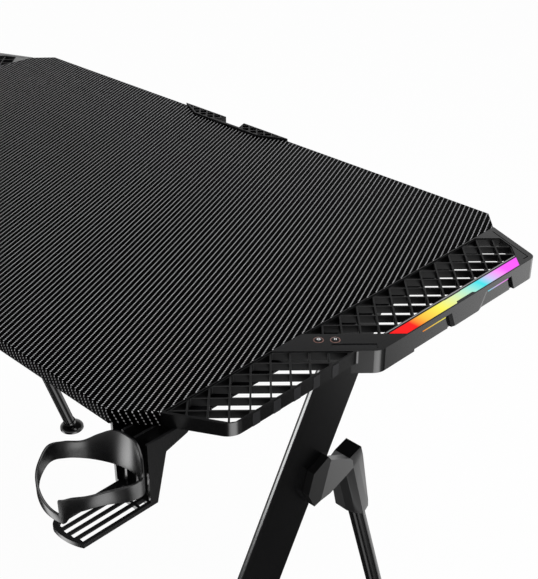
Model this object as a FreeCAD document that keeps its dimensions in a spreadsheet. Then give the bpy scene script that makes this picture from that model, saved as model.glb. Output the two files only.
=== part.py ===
"""Gaming desk with lattice end wings, light strips, a cup holder and leaning steel legs.

Millimetres, +Z up, origin on the floor under the middle of the board.
X runs to the user's right, Y runs from the user to the back edge.
"""
import FreeCAD, Part
import math
import os
import Sketcher

Vector = FreeCAD.Vector

# Driving sizes, kept in the sheet
SIZES = {
    # Board
    "desk_height": 757.0,
    "board_length": 976.0,
    "board_depth": 600.0,
    "board_thick": 15.0,
    "front_corner_along": 37.5,
    "front_corner_across": 32.0,
    "back_corner_along": 27.0,
    "back_corner_across": 29.0,
    # Cable notch and its insert
    "notch_mouth": 222.0,
    "notch_floor": 135.0,
    "notch_depth": 21.0,
    "insert_gap": 0.3,
    "insert_proud": 3.0,
    "insert_wall": 4.0,
    "insert_flange": 14.0,
    "insert_pitch": 11.0,
    "insert_rib": 2.2,
    "slot_mouth": 37.0,
    "slot_floor": 52.0,
    # Wings
    "wing_front_width": 61.5,
    "wing_back_width": 79.0,
    "wing_front_slant": 34.0,
    "wing_back_slant": 31.5,
    "wing_skirt": 12.0,
    "wing_corner": 19.0,
    "nose_cut": 3.5,
    "elbow_corner": 17.0,
    "rear_corner": 12.0,
    "elbow_setback": 238.5,
    "wall_rib_first": 29.7,
    "wall_rib_pitch": 27.6,
    "wall_rib_wide": 9.2,
    "wall_rib_proud": 0.5,
    "wall_rib_drop": 1.0,
    "panel_length": 46.0,
    "panel_skin": 3.0,
    "rim_wide": 1.8,
    "rim_inner": 1.2,
    "rear_plate": 22.0,
    "rear_cut": 21.5,
    "groove_inset": 8.0,
    "groove_wide": 1.3,
    "groove_deep": 1.0,
    "groove_end": 6.0,
    "groove_leg": 9.0,
    "shoulder_cut": 15.5,
    "flange_under": 33.0,
    "flange_ledge": 11.5,
    "flange_thick": 3.0,
    "flange_front_room": 85.0,
    "flange_back_room": 72.0,
    # Lattice
    "grille_pitch": 19.6,
    "grille_rib": 1.8,
    "grille_tall": 8.6,
    "grille_sink": 1.0,
    "grille_gap": 0.2,
    "grille_border": 1.2,
    "grille_start": 2.5,
    # Light channel
    "strip_wide": 15.5,
    "strip_tall": 6.5,
    "strip_proud": 0.4,
    "strip_gap": 0.2,
    "strip_step": 2.6,
    "strip_waist": 34.0,
    "channel_wide": 11.0,
    "light_cover_thick": 2.0,
    "led_board_thick": 1.6,
    "led_board_wide": 9.0,
    "led_chip": 5.0,
    "led_chip_tall": 1.6,
    "lens_long": 39.5,
    "lens_tall": 1.8,
    "lens_deep": 1.2,
    "lens_drop": 7.2,
    "lens_sink": 0.3,
    "recess_deep": 2.6,
    "recess_lead": 9.0,
    "recess_step": 0.5,
    "recess_overlap": 10.0,
    "recess_start_run": 12.5,
    "recess_end_run": 9.5,
    "recess_notch": 5.0,
    "recess_notch_deep": 4.0,
    "recess_exit": 5.0,
    "recess_exit_deep": 1.5,
    "recess_bevel": 0.6,
    # Buttons and their board
    "button_radius": 4.0,
    "button_gap": 0.3,
    "button_proud": 1.0,
    "button_travel": 0.8,
    "button_spacing": 17.1,
    "button_inset": 11.5,
    "button_along": 17.1,
    "button_flange": 1.2,
    "button_flange_tall": 1.8,
    "button_stem": 2.0,
    "bezel_wide": 1.1,
    "bezel_tall": 1.2,
    "bezel_proud": 0.2,
    "plate_long": 46.0,
    "plate_wide": 9.0,
    "plate_thick": 0.8,
    "plate_inset": 5.0,
    "plate_along": 53.0,
    "control_board_long": 36.0,
    "control_board_wide": 15.0,
    "control_board_thick": 1.6,
    "tact_side": 6.0,
    "tact_tall": 3.6,
    "cavity_wall": 3.5,
    "cover_gap": 0.3,
    # Light controller under the board
    "controller_long": 78.0,
    "controller_wide": 42.0,
    "controller_tall": 18.0,
    "controller_inset": 158.0,
    "controller_setback": 105.0,
    "inlet_radius": 4.5,
    "inlet_bore": 2.8,
    "inlet_long": 12.0,
    # Steel frame under the board
    "frame_inset": 65.0,
    "rail_wide": 40.0,
    "rail_tall": 20.0,
    "rail_wall": 1.5,
    "rail_front_setback": 140.0,
    "rail_back_setback": 40.0,
    "beam_wide": 40.0,
    "beam_front_y": 0.0,
    "beam_back_setback": 85.0,
    "beam_plate": 3.0,
    "joint_gap": 0.3,
    # Main legs
    "leg_inset": 61.0,
    "leg_wide": 91.5,
    "leg_thick": 22.0,
    "leg_flat": 5.0,
    "leg_inner": 38.0,
    "leg_wall": 2.0,
    "leg_top_y": 100.8,
    "leg_floor_y": 303.9,
    "shoe_thick": 5.0,
    "shoe_depth": 32.0,
    "shoe_gap": 0.3,
    # Feet
    "foot_radius": 24.0,
    "foot_tall": 12.0,
    "foot_rim": 4.0,
    "foot_neck": 9.0,
    "foot_gap": 0.3,
    "stud_radius": 4.0,
    "stud_long": 26.0,
    "stud_room": 3.0,
    "stud_gap": 0.3,
    # Braces
    "brace_inset": 68.0,
    "brace_radius": 11.0,
    "brace_wall": 1.5,
    "brace_tilt": 16.8,
    "brace_floor_y": 223.6,
    "brace_start": 22.0,
    "brace_short": 17.0,
    "collar_radius": 12.5,
    "collar_tall": 6.0,
    "plug_depth": 30.0,
    # Knuckles
    "sleeve_drop": 8.0,
    "sleeve_long": 112.0,
    "sleeve_shoulder": 15.0,
    "sleeve_half_wide": 15.0,
    "arm_reach": 60.0,
    "pad_tall": 62.0,
    "pad_thick": 11.0,
    "knuckle_gap": 0.2,
    "set_screw_long": 7.2,
    # Cup holder
    "cup_arm_wide": 53.0,
    "cup_arm_inset": 12.5,
    "cup_arm_back": 80.0,
    "cup_arm_face": 3.5,
    "cup_drop": 71.0,
    "cup_tray_tall": 4.5,
    "cup_tray_wall": 2.4,
    "cup_slat_tall": 1.8,
    "cup_tray_long": 84.5,
    "cup_tray_bulge": 6.5,
    "cup_tray_corner": 14.0,
    "cup_slot_rim": 5.0,
    "cup_slot_end": 13.0,
    "cup_slot_bar": 3.0,
    "cup_tray_inset": 5.5,
    "cup_arm_top": 11.0,
    "cup_arm_knee": 18.5,
    "cup_arm_deep": 22.0,
    "cup_arm_elbow": 48.5,
    "cup_arm_tab": 56.0,
    "cup_arm_heel": 8.5,
    "cup_web": 3.5,
    "cup_rib": 3.0,
    "cup_ring_offset": 4.5,
    "cup_ring_radius": 48.0,
    "cup_ring_thick": 2.6,
    "cup_ring_stand": 1.0,
    "cup_ring_middle": 48.0,
    "cup_boss_wide": 26.0,
    "cup_boss_tall": 26.0,
    # Fasteners
    "screw_radius": 2.0,
    "screw_head": 4.2,
    "screw_head_tall": 2.8,
    "screw_bite": 11.0,
    "screw_gap": 0.15,
    "screw_tip": 1.0,
    "bolt_radius": 3.0,
    "bolt_head": 5.0,
    "bolt_head_tall": 4.0,
    "bolt_reach": 10.0,
    "bolt_spacing": 18.0,
    # Cuts run this far past the faces that they open
    "overrun": 2.0,
}

# Counts and shares, which are not lengths
LED_COUNT = 16
CUP_GROOVES = 3
WALL_RIBS = 5
HOLE_LEAST_SHARE = 0.06
RAIL_SCREW_SHARES = (0.06, 0.30, 0.78, 0.95)
WING_SCREW_SHARES = (0.05, 0.275, 0.5, 0.725, 0.95)
# Start and end of each side recess, and the start of its slit, along the wing's outer wall
RECESS_SHARES = ((0.1993, 0.4067, 0.248), (0.6501, 0.8282, 0.669))
CUP_SCREW_SHARES = (0.2, 0.55)
# Slots of the cup tray from its right-hand edge: place and width as shares of the tray, then the front rim as a
# share of the corner
CUP_SLOT_PLACE_SHARES = (0.139, 0.341, 0.543, 0.745)
CUP_SLOT_WIDE_SHARE = 0.122
CUP_SLOT_RIM_SHARES = (0.26, 0.07, 0.0, 0.12)
SET_SCREW_SHARE = 0.5
NECK_WAIST_SHARE = 0.55
# The knuckle's corners as shares of the pad's height, from the leg's back edge: back along Y, then up
PAD_SHARES = ((-0.34, -0.50), (-0.515, -0.12), (-0.37, 0.334), (0.045, 0.522), (0.126, 0.408), (-0.152, -0.462))
ARM_SHARES = ((-0.152, -0.462), (0.126, 0.408), (0.83, -0.016), (0.953, -0.145), (1.0, -0.365), (0.181, -0.497))
WEB_SHARES = (-0.5, 0.31)
# How far the arm's outer face moves out along X for each step back and each step up
ARM_LEAN_SHARES = (-0.118, 0.0373)
# The sleeve's eight corners as shares of its half width, out along X and back, at its foot, ridge and top
SLEEVE_FOOT_SHARES = ((-1.47, -0.97), (-0.13, -0.99), (0.67, -0.80), (1.33, -0.40), (1.13, 0.53), (0.75, 1.00),
                      (-0.80, 1.00), (-1.47, 0.33))
SLEEVE_RIDGE_SHARES = ((-1.07, -0.87), (-0.13, -0.93), (0.67, -0.73), (1.33, -0.25), (1.23, 0.53), (1.09, 1.33),
                       (-0.67, 1.30), (-1.07, 0.40))
SLEEVE_TOP_SHARES = ((-0.60, -0.23), (0.0, -0.23), (0.53, -0.23), (1.09, -0.23), (1.09, 0.53), (1.09, 1.33),
                     (-0.60, 1.33), (-0.60, 0.53))
# Half heights and middle lines of the wavy cup ring, as angle in degrees from +X and shares of its radius
RING_TALL_SHARES = (
    (-72, 0.0, 0.26), (-58, 0.165, 0.205), (-40, 0.28, 0.15), (-18, 0.31, 0.15), (5, 0.18, 0.18),
    (25, 0.03, 0.19), (45, -0.11, 0.21), (58, 0.0, 0.35), (72, 0.08, 0.40), (90, 0.06, 0.425),
    (112, 0.065, 0.42), (132, 0.015, 0.32), (150, -0.005, 0.215), (172, 0.115, 0.20), (195, 0.235, 0.195),
    (212, 0.16, 0.165))
RING_STRIP_SHARES = (
    (212, 0.16, 0.165), (232, 0.085, 0.15), (250, -0.01, 0.13), (264, -0.09, 0.115), (276, -0.135, 0.10),
    (292, -0.17, 0.094))

doc = FreeCAD.newDocument("gaming_desk")
sheet = doc.addObject("Spreadsheet::Sheet", "Dims")
NODES = []


class Size:
    """A length worked out from the sheet: its value now and the expression that keeps it live."""

    def __init__(self, value, text):
        self.value = float(value)
        self.text = text

    @staticmethod
    def of(other):
        return other if isinstance(other, Size) else Size(other, repr(other))

    def __add__(self, other):
        other = Size.of(other)
        return Size(self.value + other.value, f"({self.text} + {other.text})")

    def __radd__(self, other):
        return Size.of(other) + self

    def __sub__(self, other):
        other = Size.of(other)
        return Size(self.value - other.value, f"({self.text} - {other.text})")

    def __rsub__(self, other):
        return Size.of(other) - self

    def __mul__(self, other):
        other = Size.of(other)
        return Size(self.value * other.value, f"({self.text} * {other.text})")

    def __rmul__(self, other):
        return Size.of(other) * self

    def __truediv__(self, other):
        other = Size.of(other)
        return Size(self.value / other.value, f"({self.text} / {other.text})")

    def __neg__(self):
        return Size(-self.value, f"(0 - {self.text})")


class Dimensions:
    """The sheet's cells by name, each as a Size."""


dim = Dimensions()


def fill_sheet():
    """Write each driving size into a cell with its own alias."""
    for row, (name, value) in enumerate(SIZES.items(), start=1):
        sheet.set(f"A{row}", name)
        sheet.set(f"B{row}", str(value))
        sheet.setAlias(f"B{row}", name)
        setattr(dim, name, Size(value, f"Dims.{name}"))
    doc.recompute()


fill_sheet()


# Helpers that make bound objects

def bind(obj, path, size):
    """Tie one property of an object to the sheet."""
    obj.setExpression(path, Size.of(size).text)


def place(obj, base):
    """Tie an object's position to three sizes."""
    for axis, size in zip("xyz", base):
        bind(obj, f"Placement.Base.{axis}", size)


def node(obj, label):
    """Name a finished sub-part and list it for writing."""
    obj.Label = label
    NODES.append(obj)
    return obj


def box(name, corner, size):
    """A block from its lowest corner and its three sizes."""
    made = doc.addObject("Part::Box", name)
    for prop, value in zip(("Length", "Width", "Height"), size):
        bind(made, prop, value)
    place(made, corner)
    return made


def rod(name, radius, length, base, axis=None, tilt=None):
    """A cylinder standing on base: upright, along an axis, or tilted about X by an angle of the sheet."""
    made = doc.addObject("Part::Cylinder", name)
    bind(made, "Radius", radius)
    bind(made, "Height", length)
    if axis is not None:
        made.Placement.Rotation = FreeCAD.Rotation(Vector(0, 0, 1), axis)
    if tilt is not None:
        made.Placement.Rotation = FreeCAD.Rotation(Vector(1, 0, 0), tilt.value)
        bind(made, "Placement.Rotation.Angle", tilt)
    place(made, base)
    return made


def add_outline(sketch, points):
    """Draw a closed outline and tie every corner's two coordinates to the sheet."""
    first = sketch.GeometryCount
    corners = [Vector(Size.of(a).value, Size.of(b).value, 0) for a, b in points]
    count = len(corners)
    for i in range(count):
        sketch.addGeometry(Part.LineSegment(corners[i], corners[(i + 1) % count]))
    for i in range(count):
        sketch.addConstraint(Sketcher.Constraint("Coincident", first + i, 2, first + (i + 1) % count, 1))
    for i, point in enumerate(points):
        for kind, size in zip(("DistanceX", "DistanceY"), point):
            size = Size.of(size)
            index = sketch.addConstraint(Sketcher.Constraint(kind, -1, 1, first + i, 1, size.value))
            sketch.setExpression(f"Constraints[{index}]", size.text)


def prism(name, plane, outlines, start, depth, shift=None):
    """Outlines on a main plane, padded by depth from start; shift leans the pad along Y per unit of depth."""
    body = doc.addObject("PartDesign::Body", name)
    sketch = body.newObject("Sketcher::SketchObject", f"{name}_outline")
    support = [item for item in body.Origin.OriginFeatures if item.Role == f"{plane}_Plane"][0]
    sketch.AttachmentSupport = [(support, "")]
    sketch.MapMode = "FlatFace"
    for points in outlines:
        add_outline(sketch, points)
    pad = body.newObject("PartDesign::Pad", f"{name}_pad")
    pad.Profile = sketch
    bind(pad, "Length", depth)
    if shift is not None:
        pad.UseCustomVector = True
        pad.AlongSketchNormal = True
        pad.Direction = Vector(0, shift.value, 1)
        bind(pad, "Direction.y", shift)
    bind(body, f"Placement.Base.{'z' if plane == 'XY' else 'x'}", start)
    return body


def cut(name, base, tools):
    """The base with every tool taken away."""
    made = doc.addObject("Part::Cut", name)
    made.Base = base
    made.Tool = tools[0] if len(tools) == 1 else fuse(f"{name}_tools", tools)
    return made


def fuse(name, shapes):
    """Several shapes grown together into one."""
    made = doc.addObject("Part::MultiFuse", name)
    made.Shapes = shapes
    made.Refine = True
    return made


def group(name, shapes):
    """Like pieces kept as separate solids of one object."""
    made = doc.addObject("Part::Compound", name)
    made.Links = shapes
    return made


def mirror(name, source):
    """The left-hand twin of a right-hand piece."""
    made = doc.addObject("Part::Mirroring", name)
    made.Source = source
    made.Base = Vector(0, 0, 0)
    made.Normal = Vector(1, 0, 0)
    return made


def both_sides(obj, label):
    """List a right-hand piece and its left-hand twin."""
    node(obj, f"right_{label}")
    return node(mirror(f"left_{label}", obj), f"left_{label}")


def round_edges(name, source, spots, radius):
    """Round the upright edges of a piece that stand at the given plan points."""
    doc.recompute()
    near = radius.value / 20
    chosen = []
    for index, edge in enumerate(source.Shape.Edges, start=1):
        ends = [vertex.Point for vertex in edge.Vertexes]
        for x, y in spots:
            if len(ends) == 2 and all(math.hypot(p.x - x.value, p.y - y.value) < near for p in ends):
                chosen.append((index, radius.value, radius.value))
    made = doc.addObject("Part::Fillet", name)
    made.Base = source
    made.Edges = chosen
    return made


def feature(name, shape):
    """A piece whose shape is worked out in code, where no sketch or primitive fits."""
    made = doc.addObject("Part::Feature", name)
    made.Shape = shape
    return made


def plan_points(points):
    """Plan corners as plain vectors."""
    return [Vector(Size.of(a).value, Size.of(b).value, 0) for a, b in points]


def closed_polygon(corners):
    """A closed straight-sided wire through the corners."""
    return Part.makePolygon(list(corners) + [corners[0]])


def lattice(name, points, crossing, pitch, rib, border, bottom, height):
    """A flat panel with diamond holes: a grid at 45 degrees whose ribs cross at a point, clipped by a border."""
    panel = closed_polygon(plan_points(points))
    inside = Part.Face(panel).makeOffset2D(-border.value, 2)
    reach = panel.BoundBox
    step = pitch.value
    half = (step - rib.value) / 2 * math.sqrt(2)
    least = HOLE_LEAST_SHARE * (step - rib.value) ** 2
    origin = plan_points([crossing])[0]
    turns = int(reach.DiagonalLength / step) * 2 + 2
    diamonds = []
    for i in range(-turns, turns + 1):
        for j in range(-turns, turns + 1):
            x = origin.x + (i - j + 1) * step / math.sqrt(2)
            y = origin.y + (i + j) * step / math.sqrt(2)
            if reach.XMin - half < x < reach.XMax + half and reach.YMin - half < y < reach.YMax + half:
                corners = [Vector(x + half, y, 0), Vector(x, y + half, 0),
                           Vector(x - half, y, 0), Vector(x, y - half, 0)]
                diamonds.append(Part.Face(closed_polygon(corners)))
    holes = [face for face in inside.common(Part.makeCompound(diamonds)).Faces if face.Area > least]
    sheet_face = Part.makeFace([panel] + [face.OuterWire for face in holes], "Part::FaceMakerBullseye")
    solid = sheet_face.extrude(Vector(0, 0, height.value))
    solid.translate(Vector(0, 0, bottom.value))
    return feature(name, solid)


def faceted(sections):
    """A straight-edged casting lofted through sections with the same number of corners."""
    return Part.makeLoft([closed_polygon(section) for section in sections], True, True)


def screws(name, places, seat, length):
    """Upright screws with their heads under the seat, and the holes that they need."""
    made = []
    holes = []
    for i, (x, y) in enumerate(places):
        head = rod(f"{name}_head_{i}", dim.screw_head, dim.screw_head_tall, (x, y, seat - dim.screw_head_tall))
        shank = rod(f"{name}_shank_{i}", dim.screw_radius, length, (x, y, seat))
        made.append(fuse(f"{name}_{i}", [head, shank]))
        holes.append(rod(f"{name}_hole_{i}", dim.screw_radius + dim.screw_gap,
                         length + dim.screw_tip + dim.overrun, (x, y, seat - dim.overrun)))
    return group(name, made), holes


# Places that many pieces share

half_length = dim.board_length / 2
half_depth = dim.board_depth / 2
top_z = dim.desk_height
under_z = top_z - dim.board_thick
flange_z = under_z - dim.flange_thick
skirt_z = under_z - dim.wing_skirt

# Wing outline
wing_front_x = half_length + dim.wing_front_width
wing_back_x = half_length + dim.wing_back_width
wing_front_y = -half_depth + dim.front_corner_across
wing_back_y = half_depth - dim.back_corner_across
elbow_y = -half_depth + dim.elbow_setback
front_slope = dim.wing_front_slant / dim.wing_front_width
back_slope = dim.wing_back_slant / dim.wing_back_width
# The bridge panel's two edges run at 45 degrees: y = x + panel_front and y = x + panel_back
panel_front = elbow_y - wing_front_x
panel_back = panel_front + dim.panel_length
window_x = half_length + dim.rim_inner
strip_outer_x = wing_back_x - dim.rim_wide
strip_inner_x = strip_outer_x - dim.strip_wide
strip_front = panel_back
# The light bar's back end runs at the other 45 degrees: y = strip_back - x
strip_back = wing_back_y - back_slope * (strip_inner_x - half_length) - dim.rear_plate + strip_inner_x


# Cup holder places
cup_arm_x = half_length - dim.cup_arm_inset
cup_face_y = dim.cup_arm_face - half_depth
cup_floor_z = under_z - dim.cup_drop
cup_left_x = cup_arm_x - dim.cup_arm_wide / 2


# Steel frame places
frame_plane = half_length - dim.frame_inset
leg_plane = half_length - dim.leg_inset
brace_plane = half_length - dim.brace_inset
rail_front = half_depth - dim.rail_front_setback
rail_back = half_depth - dim.rail_back_setback
rail_run = rail_front + rail_back
rail_z = under_z - dim.rail_tall
beam_back_y = half_depth - dim.beam_back_setback
leg_slope = (dim.leg_top_y + dim.leg_floor_y) / rail_z
leg_outer_x = leg_plane + dim.leg_thick / 2
tilt_angle = math.radians(dim.brace_tilt.value)
BRACE_TAN = Size(math.tan(tilt_angle), "tan(Dims.brace_tilt * 1 deg)")
BRACE_COS = Size(math.cos(tilt_angle), "cos(Dims.brace_tilt * 1 deg)")
BRACE_SIN = Size(math.sin(tilt_angle), "sin(Dims.brace_tilt * 1 deg)")
# The knuckle sits where leg and brace are one arm apart
leg_to_brace = dim.brace_floor_y + dim.leg_floor_y - dim.leg_wide / 2
pad_height = (leg_to_brace - dim.arm_reach) / (leg_slope + BRACE_TAN)
sleeve_end = (pad_height - dim.sleeve_drop) / BRACE_COS
sleeve_start = sleeve_end - dim.sleeve_long
brace_end = sleeve_end - dim.brace_short


def wing_screw_places():
    """Screws through the wing's flange into the board, on both sides."""
    x = half_length - dim.flange_under / 2
    start = -half_depth + dim.flange_front_room
    run = dim.board_depth - dim.flange_front_room - dim.flange_back_room
    return [(side * x, start + run * share) for share in WING_SCREW_SHARES for side in (1, -1)]


def rail_screw_places():
    """Screws through the side rails into the board, on both sides."""
    return [(side * frame_plane, rail_run * share - rail_front)
            for share in RAIL_SCREW_SHARES for side in (1, -1)]


def insert_screw_places():
    """Screws through the insert's flange, one on each side of the notch."""
    x = dim.notch_floor / 2 - dim.insert_flange / 2
    y = half_depth - dim.notch_depth - dim.insert_flange / 2
    return [(x, y), (-x, y)]


def cup_screw_places():
    """Screws through the tab of the cup arm into the board."""
    y = cup_face_y + (dim.cup_arm_tab + dim.cup_arm_back) / 2
    return [(cup_left_x + dim.cup_arm_wide * share, y) for share in CUP_SCREW_SHARES]


def board_outline():
    """The board's plan: cut corners and the cable notch in the back edge."""
    right = [
        (half_length - dim.front_corner_along, -half_depth),
        (half_length, -half_depth + dim.front_corner_across),
        (half_length, half_depth - dim.back_corner_across),
        (half_length - dim.back_corner_along, half_depth),
        (dim.notch_mouth / 2, half_depth),
        (dim.notch_floor / 2, half_depth - dim.notch_depth)]
    return right + [(-x, y) for x, y in reversed(right)]


def make_board(holes):
    """The board with its screw holes."""
    blank = prism("desktop_blank", "XY", [board_outline()], under_z, dim.board_thick)
    node(cut("desktop", blank, holes), "desktop")


def make_insert(holes):
    """The cable insert: lattice block in the notch, a flange under the board and an open slot."""
    gap = dim.insert_gap
    mouth = dim.notch_mouth / 2 - gap
    floor = dim.notch_floor / 2 - gap
    inner_y = half_depth - dim.notch_depth + gap
    plan = [(mouth, half_depth), (floor, inner_y), (-floor, inner_y), (-mouth, half_depth)]
    block = lattice("insert_block", plan[::-1], (0, half_depth), dim.insert_pitch, dim.insert_rib,
                    dim.insert_wall / 2, under_z, dim.board_thick + dim.insert_proud)
    flange = box("insert_flange_plate",
                 (-dim.notch_floor / 2, half_depth - dim.notch_depth - dim.insert_flange, flange_z),
                 (dim.notch_floor, dim.notch_depth + dim.insert_flange, dim.flange_thick))
    slot_floor_y = inner_y + dim.insert_wall
    frame_y = slot_floor_y - dim.insert_wall / 2
    wall = dim.insert_wall / 2
    frame_plan = [(-dim.slot_floor / 2 - wall, frame_y), (dim.slot_floor / 2 + wall, frame_y),
                  (dim.slot_mouth / 2 + wall, half_depth), (-dim.slot_mouth / 2 - wall, half_depth)]
    frame = prism("insert_slot_frame", "XY", [frame_plan], under_z, dim.board_thick + dim.insert_proud)
    slot_plan = [(-dim.slot_floor / 2, slot_floor_y), (dim.slot_floor / 2, slot_floor_y),
                 (dim.slot_mouth / 2, half_depth + dim.overrun), (-dim.slot_mouth / 2, half_depth + dim.overrun)]
    slot = prism("insert_slot", "XY", [slot_plan], flange_z - dim.overrun,
                 dim.flange_thick + dim.board_thick + dim.insert_proud + dim.overrun * 2)
    whole = fuse("insert_whole", [block, frame, flange])
    node(cut("cable_insert", whole, [slot] + holes), "cable_insert")


# Wings

def wing_outline():
    """The right wing's plan: slanted ends, a straight inner edge and a stepped outer edge."""
    return [
        (half_length, wing_front_y),
        (wing_front_x, wing_front_y + dim.wing_front_slant),
        (wing_front_x, elbow_y),
        (wing_back_x, wing_back_x + panel_front),
        (wing_back_x, wing_back_y - dim.wing_back_slant),
        (half_length, wing_back_y)]


def front_window(gap):
    """The front lattice window, or the panel that fits in it with a gap."""
    inner_x = window_x + gap
    outer_x = wing_front_x - dim.rim_wide + gap * -1
    lift = dim.rim_wide * 2 + gap
    cut_x = outer_x - dim.nose_cut
    return [
        (inner_x, wing_front_y + front_slope * (inner_x - half_length) + lift),
        (cut_x, wing_front_y + front_slope * (cut_x - half_length) + lift),
        (outer_x, wing_front_y + front_slope * (outer_x - half_length) + lift + dim.nose_cut),
        (outer_x, outer_x + panel_front - gap * 2),
        (inner_x, inner_x + panel_front - gap * 2)]


def rear_window(gap):
    """The rear lattice window, or the panel that fits in it with a gap."""
    inner_x = window_x + gap
    outer_x = strip_inner_x - dim.rim_wide - gap
    shoulder_x = strip_inner_x - dim.rim_wide - dim.shoulder_cut
    rear_x = window_x + dim.rear_cut
    back = wing_back_y - dim.rear_plate / 2 - gap * 2
    return [
        (inner_x, inner_x + panel_back + gap * 2),
        (outer_x, outer_x + panel_back + gap * 2),
        (outer_x, back - back_slope * (shoulder_x - half_length) - dim.shoulder_cut + gap),
        (shoulder_x, back - back_slope * (shoulder_x - half_length)),
        (rear_x, back - back_slope * (rear_x - half_length)),
        (inner_x, back - back_slope * (rear_x - half_length) - dim.rear_cut + gap)]


def strip_outline(gap):
    """The light bar's plan: ends cut at 45 degrees and a narrower waist; gap shrinks it to a sliding fit."""
    inner = strip_inner_x + gap
    outer = strip_outer_x - gap
    middle = (strip_front + strip_back) / 2
    half = dim.strip_waist / 2
    step = dim.strip_step
    return [
        (inner, inner + strip_front + gap * 2),
        (outer, outer + strip_front + gap * 2),
        (outer, middle - half),
        (outer - step, middle - half + step),
        (outer - step, middle + half - step),
        (outer, middle + half),
        (outer, strip_back - outer - gap * 2),
        (inner, strip_back - inner - gap * 2),
        (inner, middle + half * 0.5),
        (inner + step, middle + half * 0.5 - step),
        (inner + step, middle - half * 1.5 + step),
        (inner, middle - half * 1.5)]


channel_x = strip_inner_x + (dim.strip_wide - dim.channel_wide) / 2
channel_start = strip_outer_x + strip_front
channel_end = strip_back - strip_outer_x
channel_run = channel_end - channel_start


def recess_places():
    """Where each side recess starts and ends, and where its slit starts, along the wing's outer wall."""
    start = wing_back_x + panel_front
    run = wing_back_y - dim.wing_back_slant - start
    return [[start + run * share for share in shares] for shares in RECESS_SHARES]


def panel_spot(along, inset):
    """A point on the bridge panel: along it from the board's edge, and in from its rear edge, at 45 degrees."""
    x = half_length + (along + inset) / math.sqrt(2)
    y = half_length + panel_back + (along - inset) / math.sqrt(2)
    return x, y


def turned_block(name, along, inset, long, wide, bottom, tall):
    """A block that lies along the bridge panel, given by its middle."""
    middle_x, middle_y = panel_spot(along, inset)
    a = (long + wide) / 2 / math.sqrt(2)
    b = (long - wide) / 2 / math.sqrt(2)
    corners = [(middle_x - b, middle_y - a), (middle_x + a, middle_y + b),
               (middle_x + b, middle_y + a), (middle_x - a, middle_y - b)]
    return prism(name, "XY", [corners], bottom, tall)


def panel_region(name, near_x, far_x, wall, bottom, tall):
    """A block under the bridge panel between two X values, inside its 45-degree edges by wall."""
    front = panel_front + wall * math.sqrt(2)
    back = panel_back - wall * math.sqrt(2)
    plan = [(near_x, near_x + front), (far_x, far_x + front), (far_x, far_x + back), (near_x, near_x + back)]
    return prism(name, "XY", [plan], bottom, tall)


ledge_x = half_length + dim.flange_ledge
skirt_x = strip_inner_x - dim.rim_wide * 2


def groove_plan():
    """The fine groove on the rear plate: along the back edge, then a short leg beside the light bar."""
    def beside(x):
        return wing_back_y - back_slope * (x - half_length) - dim.groove_inset

    near = half_length + dim.groove_end
    far = wing_back_x - dim.groove_end
    inner = far - dim.groove_wide
    low = beside(far) - dim.groove_leg
    return [(near, beside(near)), (far, beside(far)), (far, low), (inner, low),
            (inner, beside(inner) - dim.groove_wide), (near, beside(near) - dim.groove_wide)]


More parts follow.
